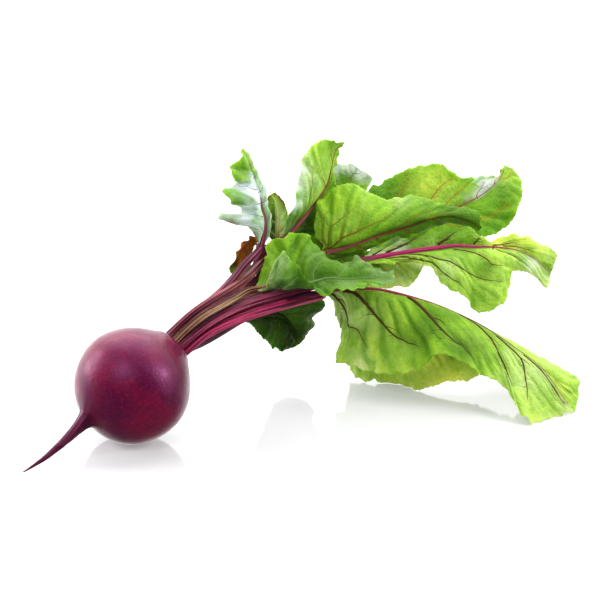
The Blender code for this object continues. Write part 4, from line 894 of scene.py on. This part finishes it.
def root_skin(nodes):
    """The root's satin skin: deep crimson with a lilac gloss, redder in patches, browner down the taproot,
    near black in the taproot's creases, which is painted shade, and on the rough bits by the crown.
    """
    broad, middle, fine = nodes.noise(30, 3), nodes.noise(8, 4), nodes.noise(1.6, 4)
    colour = nodes.mix(nodes.range(broad, 0.40, 0.66), (0.066, 0.0015, 0.021), (0.125, 0.0015, 0.018))
    specks = nodes.add("ShaderNodeTexVoronoi", {"Scale": 300.0, "Vector": nodes.place}).outputs["Distance"]
    dot = nodes.times(nodes.range(specks, 0.05, 0.14, 1.0, 0.0), nodes.range(middle, 0.5, 0.65, 0.0, 0.25))
    brown = nodes.mix(nodes.range(middle, 0.40, 0.60), (0.022, 0.002, 0.012), (0.065, 0.01, 0.02))
    tail = nodes.times(nodes.attribute("tail"), nodes.range(fine, 0.2, 0.7, 0.45, 0.95))
    for share, tint in ((nodes.range(middle, 0.45, 0.72, 0.0, 0.45), (0.055, 0.003, 0.018)),
                        (nodes.range(fine, 0.50, 0.70, 0.0, 0.20), (0.21, 0.022, 0.05)),
                        (nodes.range(fine, 0.48, 0.32, 0.0, 0.28), (0.035, 0.001, 0.012)),
                        (dot, (0.26, 0.13, 0.11)), (tail, brown),
                        # Near black in the creases: painted shade in the taproot's folds, and darker rough
                        # bits by the crown.
                        (nodes.times(nodes.attribute("crease"), 0.55), (0.022, 0.003, 0.009))):
        colour = nodes.mix(share, colour, tint)
    return {
        "Base Color": colour, "Roughness": nodes.range(middle, 0.3, 0.7, 0.29, 0.37),
        "Specular IOR Level": 0.30, "Specular Tint": (1.0, 0.34, 0.8), "Subsurface Weight": 0.06,
        "Subsurface Radius": (1.0, 0.1, 0.15), "Subsurface Scale": 0.002,
        **nodes.bumps((fine, 0.13), (middle, 0.12))}


def floor_paper(nodes):
    grain = nodes.noise(60, 2)
    colour = nodes.mix(nodes.range(grain, 0.3, 0.7), (0.52, 0.52, 0.53), (0.54, 0.54, 0.545))
    return {"Base Color": colour, "Emission Color": colour, "Emission Strength": 0.5,
            "Roughness": nodes.range(grain, 0.3, 0.7, 0.06, 0.09)}


def material(dress):
    """A new material whose skin is as one of the functions above says."""
    made = bpy.data.materials.new(dress.__name__)
    nodes = Nodes(made)
    nodes.fill(nodes.end, dress(nodes))
    return made


MATERIALS = {dress.__name__: material(dress)
             for dress in (leaf_skin, vein_skin, stalk_skin, root_skin, floor_paper)}


class Sheet:
    """A blade's middle surface as a grid of points: stations along it by columns across it.

    place counts the table's rows, and column is -1 at the left margin, 0 on the midrib and 1 at the right."""

    def __init__(self, leaf):
        rows = points_of(leaf)
        self.long = length_along(rows[:, 1])[-1]
        wide = max(np.linalg.norm(rows[:, k] - rows[:, 1], axis=1).max() for k in (0, 2))
        self.last = len(rows) - 1
        self.places = np.linspace(0, self.last, math.ceil(self.long / ALONG) + 1)
        v = np.linspace(0, 1, math.ceil(wide / ACROSS) + 1)
        self.columns = np.concatenate([-v[::-1], [0.0], v])
        left, right = (half_blade(leaf, self.places, hand, v) for hand in ("left", "right"))
        middle = blade_frame(leaf, self.places)[0][:, None]
        self.points = np.concatenate([left[:, ::-1], middle, right], axis=1)
        self.share, self.column = np.meshgrid(self.places / self.last, self.columns, indexing="ij")
        self.v = np.abs(self.column)
        self.calm = smoothstep(0.0, 0.12, self.share) * smoothstep(1.0, 0.92, self.share)

    def normals(self):
        """The upper side's normal at each point."""
        return unit(np.cross(np.gradient(self.points, axis=1), np.gradient(self.points, axis=0)))

    def lift(self, height):
        self.points = self.points + self.normals() * height[..., None]

    def waves(self, seed, longest, shortest, count=18):
        """A smooth random wave over the sheet, about -1 to 1."""
        field = waves_in_space(seed, count, longest, shortest)
        return field(self.points.reshape(-1, 3)).reshape(self.v.shape)

    def read(self, spots, grid):
        """A grid's values at (place, column) spots, between its own."""
        spots = np.asarray(spots, float)
        i = np.interp(spots[:, 0], self.places, np.arange(len(self.places)))
        k = np.interp(spots[:, 1], self.columns, np.arange(len(self.columns)))
        i0 = np.clip(i.astype(int), 0, len(self.places) - 2)
        k0 = np.clip(k.astype(int), 0, len(self.columns) - 2)
        down, aside = (i - i0)[:, None], (k - k0)[:, None]
        near = grid[i0, k0] * (1 - down) + grid[i0 + 1, k0] * down
        far = grid[i0, k0 + 1] * (1 - down) + grid[i0 + 1, k0 + 1] * down
        return near * (1 - aside) + far * aside

    def nearness(self, lines, reach):
        """1 on a line, falling to 0 over about this many millimetres, at each point."""
        points = np.concatenate(lines)
        tree = kdtree.KDTree(len(points))
        for i, point in enumerate(points):
            tree.insert(point, i)
        tree.balance()
        way = np.array([tree.find(point)[2] for point in self.points.reshape(-1, 3)]).reshape(self.v.shape)
        return [np.exp(-(way / each) ** 2) for each in reach]


def curl(sheet, look):
    """The looks' own curls of the right half: a place, a half length in places, a height in millimetres."""
    for place, reach, height in look.get("curls", ()):
        away = (sheet.share * sheet.last - place) / reach
        sheet.lift(height * np.exp(-away ** 2) * smoothstep(0.1, 0.8, sheet.column) * sheet.calm)


def fold(sheet, look):
    """Broad soft folds, then fine ones from the midrib outwards between the veins. Gives the fine ones, which
    the leaf's skin turns into painted highlight and painted shade.
    """
    sheet.lift(sheet.waves(look["seed"], *FOLD_WAVES) * look["folds"] * sheet.v * sheet.calm)
    lean = look["sweep"] * sheet.v ** 1.25
    way = (sheet.share - lean) * sheet.long + sheet.waves(look["seed"] + 5, *SLANT_WAVES) * 2.2
    hand = np.where(sheet.column < 0, 400.0, 0.0)
    fine = waves_along(look["seed"] + 31, *PLEAT_WAVES)(way + hand)
    patch = np.clip(0.55 + 0.6 * sheet.waves(look["seed"] + 6, *PATCH_WAVES), 0, 1)
    strength = smoothstep(0.05, 0.35, sheet.v) * (1 - 0.4 * smoothstep(0.75, 1, sheet.v)) * sheet.calm
    sheet.lift(fine * patch * strength * look["pleats"])
    return fine * patch * strength


def cut_margin(sheet, look):
    """The margin's frill, its shallow scallops and its small pointed teeth."""
    rng = np.random.default_rng(look["seed"] + 50)
    outwards = unit(np.gradient(sheet.points, axis=1) * np.sign(sheet.column)[..., None])
    for edge, hand in ((0, -1), (-1, 1)):
        line = sheet.points[:, edge]
        way = length_along(line)
        frill = waves_along(look["seed"] + 7 + hand, *FRILL_WAVES)(way) * look["frill"]
        scallop = waves_along(look["seed"] + 17 + hand, *SCALLOP_WAVES)(way) * look["scallop"]
        knots = np.cumsum(rng.uniform(TOOTH_LEAST, TOOTH_MOST, int(way[-1] / TOOTH_LEAST) + 4)) - 4
        deep = rng.uniform(0.25, 1.0, len(knots)) * look["teeth"]
        i = np.clip(np.searchsorted(knots, way) - 1, 0, len(knots) - 2)
        f = np.clip((way - knots[i]) / (knots[i + 1] - knots[i]), 0, 1) ** 1.3
        tooth = deep[i] * (1 - np.abs(2 * f - 1) ** 1.4 - 0.55)
        near = sheet.column * hand > 0
        rise = frill[:, None] * smoothstep(0.55, 1.0, sheet.v) * sheet.calm
        reach = scallop[:, None] * smoothstep(0.6, 1.0, sheet.v) * sheet.calm
        reach = reach + tooth[:, None] * smoothstep(0.88, 1.0, sheet.v) * smoothstep(0.0, 0.05, sheet.share)
        normal = sheet.normals()
        sheet.points = sheet.points + normal * np.where(near, rise, 0)[..., None]
        sheet.points = sheet.points + outwards * np.where(near, reach, 0)[..., None]


def vein_spots(leaf, look):
    """The veins as (spots, radius at the foot, rank): those drawn in the looks, then side veins by rule."""
    rng = np.random.default_rng(look["seed"])
    last = len(leaf["rows"]) - 1
    own = [(np.reshape(spots, (-1, 2)), radius) for radius, *spots in look.get("veins", ())]
    veins = [(spots, radius, 1) for spots, radius in own]
    for hand in (1, -1):
        drawn = [spots[0][0] for spots, _ in own if spots[-1][1] * hand > 0]
        if hand in look.get("drawn_only", ()):
            continue
        count = look["laterals"]
        feet = (np.arange(count) + 0.35 + 0.25 * (hand > 0)) / count * last * 0.93
        feet = feet + rng.uniform(-0.15, 0.15, count) * last / count
        for foot in np.clip(feet, 0.15, last * 0.95):
            if any(abs(foot - other) < 0.62 * last / count for other in drawn):
                continue
            sweep = look["sweep"] * last * (1 - 0.45 * foot / last) * rng.uniform(0.85, 1.15)
            t = np.linspace(0, 1, 9)
            place = foot + sweep * t ** 1.25 + 0.03 * last * np.sin(t * 5 + foot) * t
            place = np.minimum(place, last * 0.985)
            column = hand * t * rng.uniform(0.74, 0.9)
            veins.append((np.column_stack([place, column]), look["vein"] * (1 - 0.45 * foot / last), 1))
    grown = []
    for spots, radius, _ in veins:
        hand = 1 if spots[-1][1] > 0 else -1
        for share, turn in BRANCHES:
            start = smooth_curve(spots, [share * (len(spots) - 1)])[0]
            reach = np.array([turn * last * rng.uniform(0.03, 0.07), hand * rng.uniform(0.07, 0.16)])
            end = np.clip(start + reach, (0.05, -0.96), (last * 0.985, 0.96))
            bow = (start + end) / 2 + np.array([turn * last * 0.008, -hand * 0.02])
            grown.append((np.array([start, bow, end]), radius * (1 - share) * rng.uniform(0.3, 0.6), 2))
    return veins + grown


def colour_at(sheet, look):
    """The blade's colours: the looks' few stops along it, blended, with its zones laid over them; among them
    are painted shade and painted highlight.
    """
    stops = np.linspace(0, 1, 5)
    out = np.zeros(sheet.v.shape + (3,))
    blend = smoothstep(0.0, 1.0, sheet.v)[..., None]
    for side, here in (("left", sheet.column < 0), ("right", sheet.column >= 0)):
        table = np.array(look[side], float)
        inner, outer = (np.stack([np.interp(sheet.share, stops, table[:, end, c]) for c in range(3)], axis=-1)
                        for end in (0, 1))
        out = np.where(here[..., None], inner * (1 - blend) + outer * blend, out)
    shake = 1 + 0.35 * sheet.waves(look["seed"] + 8, *SHAKE_WAVES)
    for place, column, reach, colour, strength in look.get("zones", ()):
        centre = sheet.read([(place, column)], sheet.points)[0]
        way = np.linalg.norm(sheet.points - centre, axis=-1) * shake
        weight = (strength * np.exp(-(way / reach) ** 2))[..., None]
        weight = weight * (sheet.column * column >= 0)[..., None]
        out = out * (1 - weight) + np.array(colour) * weight
    return out * LEAF_SHARE / (1 + LEAF_EASE * out)


def vein_colours(look, v):
    near, far, speed = look["veined"]
    fade = np.clip(1 - v * speed, 0, 1)[..., None]
    return np.array(near) * fade + np.array(far) * (1 - fade)


def make_leaf(name, leaf, look, path):
    """One leaf: its blade, its veins, and its stalk that runs on as the midrib."""
    sheet = Sheet(leaf)
    curl(sheet, look)
    streak = fold(sheet, look)
    cut_margin(sheet, look)
    veins = vein_spots(leaf, look)
    lines = {1: [], 2: []}
    for spots, _, rank in veins:
        dense = resampled(spots, LIFT_POINTS[rank])
        lines[rank].append(sheet.read(dense, sheet.points))
    rib = sheet.points[:, len(sheet.columns) // 2]
    wide, halo = sheet.nearness(lines[1] + [rib], (SINK_REACH, HALO_REACH))
    pucker, minor = sheet.nearness(lines[2] + lines[1] + [rib], (PUCKER_REACH, MINOR_REACH))
    level = smoothstep(1.0, 0.8, sheet.v) * sheet.calm
    lumps = sheet.waves(look["seed"] + 3, *LUMP_WAVES)
    puff = (PUFF_MIDDLE - wide) * look["puff"] - pucker * look["puff"] * PUCKER_SHARE
    sheet.lift((puff + lumps * LUMP_RISE) * level)
    sheet.points[..., 2] = np.maximum(sheet.points[..., 2], BLADE_LOWEST)
    tint = colour_at(sheet, look)
    # The fine folds become painted highlight and painted shade in the skin, the margin gets a painted
    # highlight, and the palest tints, mostly painted sheen, are marked by the tint's blue.
    attributes = {"halo": halo, "minor": minor, "streak": streak,
                  "rim": smoothstep(0.93, 1.0, sheet.v), "vein_tint": vein_colours(look, sheet.v),
                  "tint": tint, "painted_sheen": smoothstep(0.2, 0.6, tint[..., 2])}
    make_blade(name, sheet, attributes)
    make_veins(name, look, sheet, veins)
    make_stalk(name, leaf, look, path, sheet)


def make_blade(name, sheet, attributes):
    """A closed sheet, thinner at its margins, with the upper side's values on both sides."""
    normal = sheet.normals()
    half = (HALF_THICKNESS - MARGIN_THINNING * smoothstep(0.7, 1.0, sheet.v))[..., None]
    rows, across = sheet.v.shape
    count = rows * across
    points = np.concatenate([(sheet.points + normal * half).reshape(-1, 3),
                             (sheet.points - normal * half).reshape(-1, 3)])
    points[:, 2] = np.maximum(points[:, 2], LOWEST)
    i, k = np.meshgrid(np.arange(rows - 1), np.arange(across - 1), indexing="ij")
    a = i * across + k
    faces = np.stack([a, a + 1, a + across + 1, a + across], axis=-1).reshape(-1, 4)
    index = np.arange(count).reshape(rows, across)
    rim = np.concatenate([index[0], index[1:, -1], index[-1, -2::-1], index[-2:0:-1, 0]])
    after = np.roll(rim, -1)
    walls = np.stack([rim, rim + count, after + count, after], axis=1)
    quads = np.concatenate([faces, faces[:, ::-1] + count, walls])
    made = mesh_object(f"leaf_{name}_blade_fine", points, quads)
    for key, values in attributes.items():
        both = np.concatenate([values.reshape(count, -1)] * 2)
        give(made, key, both if values.ndim == 3 else both[:, 0])
    give(made, "under", np.repeat([0.0, 1.0], count))
    finish_piece(made, name in LEAVES and f"leaf_{name}_blade", "leaf_skin")


def make_veins(name, look, sheet, veins):
    """The side veins as fine tapering ribs that stand a little proud of both sides, with their branches."""
    section = (all_round(VEIN_SIDES), np.ones(VEIN_SIDES))
    normal = sheet.normals()
    points, quads, caps, places = [], [], [], []
    base = 0
    for spots, radius, rank in veins:
        dense = resampled(spots, VEIN_POINTS[rank])
        line, upper = sheet.read(dense, sheet.points), unit(sheet.read(dense, normal))
        side = unit(np.cross(unit(np.gradient(line, axis=0)), upper))
        size = radius * (1 - np.linspace(0, 1, len(line))) ** 0.6 + VEIN_LEAST_RADIUS
        tall = VEIN_RISE + VEIN_RISE_SHARE * size
        made = tube(line, side, upper * (tall / size)[:, None], size, section)
        for store, part, shift in zip((points, quads, caps), made, (0, base, base)):
            store.append(part + shift)
        v = np.abs(dense[:, 1])
        places.append(np.concatenate([np.repeat(v, VEIN_SIDES), v[:1], v[-1:]]))
        base += len(made[0])
    made = mesh_object(f"leaf_{name}_veins", *map(np.concatenate, (points, quads, caps)))
    give(made, "tint", vein_colours(look, np.concatenate(places)))
    finish_piece(made, None, "vein_skin")


def make_stalk(name, leaf, look, path, sheet):
    """The ribbed, channelled stalk from inside the crown to the blade's tip."""
    foot, outward = foot_of(leaf)
    rib, _, rib_sides, _, _ = blade_frame(leaf, sheet.places)
    stalk = read_along(path, count=STALK_STEPS)
    sunk = foot - outward * np.linspace(*STALK_SUNK)[:, None]
    line = np.concatenate([sunk, stalk[:-1], rib[:-1]])
    free = len(sunk) + len(stalk) - 1
    share = np.concatenate([np.zeros(len(sunk)), np.linspace(0, 1, len(stalk))[:-1]])
    tip = sheet.places[:-1] / sheet.last
    radius = np.concatenate([stalk_radius(leaf, share), rib_radius(leaf, tip) * look.get("rib", 1.0)])
    way = length_along(line)
    thin = np.concatenate([np.ones(free), 1 - STALK_TIP_THINNING * smoothstep(0.3, 1.0, tip)])
    radius = radius * thin * (1 + STALK_FOOT_SWELL * np.exp(-way / 5.0))
    sides = carried_along(line, rib_sides[:-1], free)
    on_blade = np.concatenate([np.zeros(free), smoothstep(0.0, look.get("green_from", 0.8), tip)])
    made = ribbed_tube(f"leaf_{name}_stalk_fine", look, line, sides, radius, on_blade)
    finish_piece(made, name in LEAVES and f"leaf_{name}_stalk", "stalk_skin")


def ribbed_tube(name, look, line, sides, radius, on_blade):
    """A stalk's ribbed, channelled skin round a line, its colours going over to the midrib's by on_blade."""
    rng = np.random.default_rng(look["seed"] + 9)
    angles = all_round(STALK_SIDES)
    wave = np.cos(STALK_RIDGES * angles + rng.uniform(0, 6))
    ridge = np.sign(wave) * np.abs(wave) ** 0.8
    channel = np.exp(-((angles - math.pi / 2) / 0.5) ** 2)
    shape = 1 + 0.1 * ridge + 0.02 * np.cos(13 * angles + 1) - 0.2 * channel
    along = unit(np.gradient(line, axis=0))
    way = length_along(line)
    made = mesh_object(name, *tube(line, sides, np.cross(along, sides), radius, (angles, shape)))
    for key, values in (("ridge", ridge), ("around_x", np.cos(angles)), ("around_y", np.sin(angles))):
        give(made, key, np.concatenate([np.tile(values, len(line)), [0, 0]]))
    give(made, "way", np.concatenate([np.repeat(way, STALK_SIDES), [way[0], way[-1]]]) * MM)
    share = np.concatenate([np.repeat(on_blade, STALK_SIDES), [0, 1]])[:, None]
    ridges, grooves, streaks = (np.array(colour) for colour in look["stalk"])
    pale_groove = 0.7 * smoothstep(0.0, 0.08, share)
    grooves = grooves * (1 - pale_groove) + ridges * pale_groove
    for key, colour in (("tint", ridges), ("groove_tint", grooves), ("streak_tint", streaks)):
        give(made, key, colour * (1 - share) + np.array(look["rib_end"]) * share)
    return made


def carried_along(line, last_side, first):
    """A sideways direction at each of the line's first points, turned as little as can be from the last."""
    along = unit(np.gradient(line, axis=0))
    sides = np.zeros_like(line)
    sides[first:] = last_side
    for i in range(first - 1, -1, -1):
        sides[i] = unit(sides[i + 1] - np.dot(sides[i + 1], along[i]) * along[i])
    return sides


def make_young_stalk(name, stalk):
    """A thin young stalk inside the bunch, with no blade of its own."""
    foot, outward = foot_of(stalk)
    line = resampled([foot, foot + YOUNG_RISE * outward, *stalk["line"]], STALK_POINTS)
    line = np.concatenate([(foot - YOUNG_SUNK * outward)[None], read_along(line, count=YOUNG_STEPS)])
    sides = carried_along(line, unit(np.cross(line[-1] - line[-2], (0, 1, 0))), len(line) - 1)
    radius = stalk["radius"] * (1 - YOUNG_TAPER * np.linspace(0, 1, len(line)))
    made = ribbed_tube(f"young_stalk_{name}", stalk, line, sides, radius, np.zeros(len(line)))
    finish_piece(made, None, "stalk_skin")


def finish_piece(made, node, skin):
    """Gives a piece its material and its body, and hides the solid that it stands for, if it has one."""
    made.data.materials.append(MATERIALS[skin])
    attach(made, "root")
    if node:
        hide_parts(node)


def make_root():
    """The root's fine skin round the source's axis and outline, with dents and the taproot's creases."""
    _, outward, side, _ = crown_frame()
    lengths, radii = np.array(ROOT_OUTLINE).T
    centres = read_along(ROOT_AXIS, lengths)
    along = unit(np.gradient(centres, axis=0))
    along[:2] = -outward
    fine = resampled(np.column_stack([centres, along, lengths, radii]), ROOT_RINGS)
    centres, along, length, radius = fine[:, :3], unit(fine[:, 3:6]), fine[:, 6:7], fine[:, 7:]
    across = unit(side - (along @ side)[:, None] * along)
    over = np.cross(across, along)
    angles = all_round(ROOT_AROUND)
    lumps = sum(part * np.sin(count * angles + turn) for count, part, turn in LUMPS)
    lumps = LUMP_HEIGHT * radius / ROOT_WIDEST * lumps
    rim = np.cos(angles)[None, :, None] * across[:, None] + np.sin(angles)[None, :, None] * over[:, None]
    points = centres[:, None] + (radius + lumps)[..., None] * rim

    def waves(seed, count, longest, shortest):
        return waves_in_space(seed, count, longest, shortest)(points.reshape(-1, 3)).reshape(points.shape[:2])
    tail = smoothstep(67, 76, length)
    near_crown = smoothstep(9, 2, length)
    soft, small, rough = waves(*ROOT_SOFT), waves(*ROOT_SMALL), waves(*ROOT_ROUGH)
    folds = np.sin(length / TAIL_FOLD * 2 * math.pi + 1.2 * np.sin(angles + 0.5) + 2.2 * small)
    pinch = np.clip(folds, 0.35, 1) - 0.35
    stretch = np.sin(9 * angles + 3 * np.sin(length / 9)) * 0.5
    on_ball = smoothstep(74, 66, length)
    relief = soft * 0.28 * on_ball + small * (0.05 + 0.12 * tail) + rough * 0.28 * near_crown
    relief = relief - pinch * 0.04 * radius * tail + stretch * 0.05 * radius * tail
    points = points + rim * (relief * smoothstep(0, 1.5, length))[..., None]
    points[..., 2] = np.maximum(points[..., 2], 0.0)

    made = mesh_object("root_fine", *closed(points, points[[0, -1]].mean(axis=1)))
    # Near black in the taproot's pinched-in folds, painted shade in its creases, and on the rough bits by the
    # crown.
    crease = np.clip(pinch / 0.65, 0, 1) * tail + np.clip(rough, 0, 1) * near_crown * 0.6
    for key, values in (("tail", tail + 0 * pinch), ("crease", crease)):
        give(made, key, np.concatenate([values.reshape(-1), values[[0, -1], 0]]))
    made.data.materials.append(MATERIALS["root_skin"])
    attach(made, "root")
    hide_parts("root")


def without_kinks(path):
    """A stalk's middle line with its short bends eased, its two ends kept."""
    order = np.arange(len(path))
    free = np.clip(np.minimum(order - 1, order[::-1] - 1) / 3.0, 0, 1)[:, None]
    for _ in range(EASE_ROUNDS):
        middle = (np.roll(path, 1, axis=0) + np.roll(path, -1, axis=0)) / 2
        path = path + 0.5 * free * (middle - path)
    return path


def make_room():
    """A white room: even for matt surfaces, and for glossy ones bright behind and above, dark in front."""
    world = bpy.context.scene.world = bpy.data.worlds.new("white_room")
    nodes = Nodes(world, "Background")
    way = nodes.add("ShaderNodeTexCoord").outputs["Generated"]
    dot = nodes.add("ShaderNodeVectorMath", {0: way, 1: ROOM_BRIGHT_SIDE}, operation="DOT_PRODUCT")
    last = nodes.range(dot.outputs["Value"], *ROOM_FADE, ROOM_DARK, ROOM_BRIGHT)
    rays = nodes.add("ShaderNodeLightPath").outputs
    for ray, strength in (("Is Diffuse Ray", ROOM_DIFFUSE), ("Is Camera Ray", ROOM_SEEN)):
        last = nodes.add("ShaderNodeMix", {0: rays[ray], 2: last, 3: strength}).outputs[0]
    nodes.fill(nodes.end, {0: (1.0, 1.0, 1.0), 1: last})


def put(name, data, place):
    """A new object of the scene's own, such as a light or the camera."""
    made = bpy.data.objects.new(name, data)
    bpy.context.scene.collection.objects.link(made)
    made.location = place
    return made


def make_stage():
    """The floor, the camera, the lights and the white room."""
    bpy.ops.mesh.primitive_plane_add(size=FLOOR_SIZE, location=(0, 0, -FLOOR_DROP))
    floor = bpy.context.object
    floor.name = "floor"
    floor.data.materials.append(MATERIALS["floor_paper"])
    floor.visible_glossy = False

    scene = bpy.context.scene
    lens = bpy.data.cameras.new("camera")
    lens.sensor_width = SENSOR
    lens.lens = SENSOR * CAMERA_WAY / WIDTH_IN_VIEW
    towards = Vector((0, -math.cos(CAMERA_RISE), math.sin(CAMERA_RISE)))
    scene.camera = put("camera", lens, Vector(CAMERA_AIM) + CAMERA_WAY * towards)
    scene.camera.rotation_euler = (math.pi / 2 - CAMERA_RISE, 0, 0)
    scene.view_settings.view_transform = "Standard"
    make_room()
    for name, place, target, size, power, on_matt in LIGHTS:
        light = bpy.data.lights.new(name, "AREA")
        light.shape = "RECTANGLE"
        light.size, light.size_y = size
        light.energy = power
        made = put(name, light, place)
        made.visible_diffuse = on_matt
        made.rotation_euler = (Vector(target) - Vector(place)).to_track_quat("-Z", "Y").to_euler()


def main():
    make_root()
    radii = {name: stalk_radius(leaf, np.linspace(0, 1, STALK_POINTS)) for name, leaf in LEAVES.items()}
    paths = spread_stalks({name: stalk_path(leaf) for name, leaf in LEAVES.items()}, radii)
    for name, leaf in LEAVES.items():
        make_leaf(name, leaf, LOOKS[name], without_kinks(paths[name]))
    for name, stalk in YOUNG_STALKS.items():
        make_young_stalk(name, stalk)
    make_leaf("heart", HEART, LOOKS["heart"], stalk_path(HEART))
    make_stage()


main()
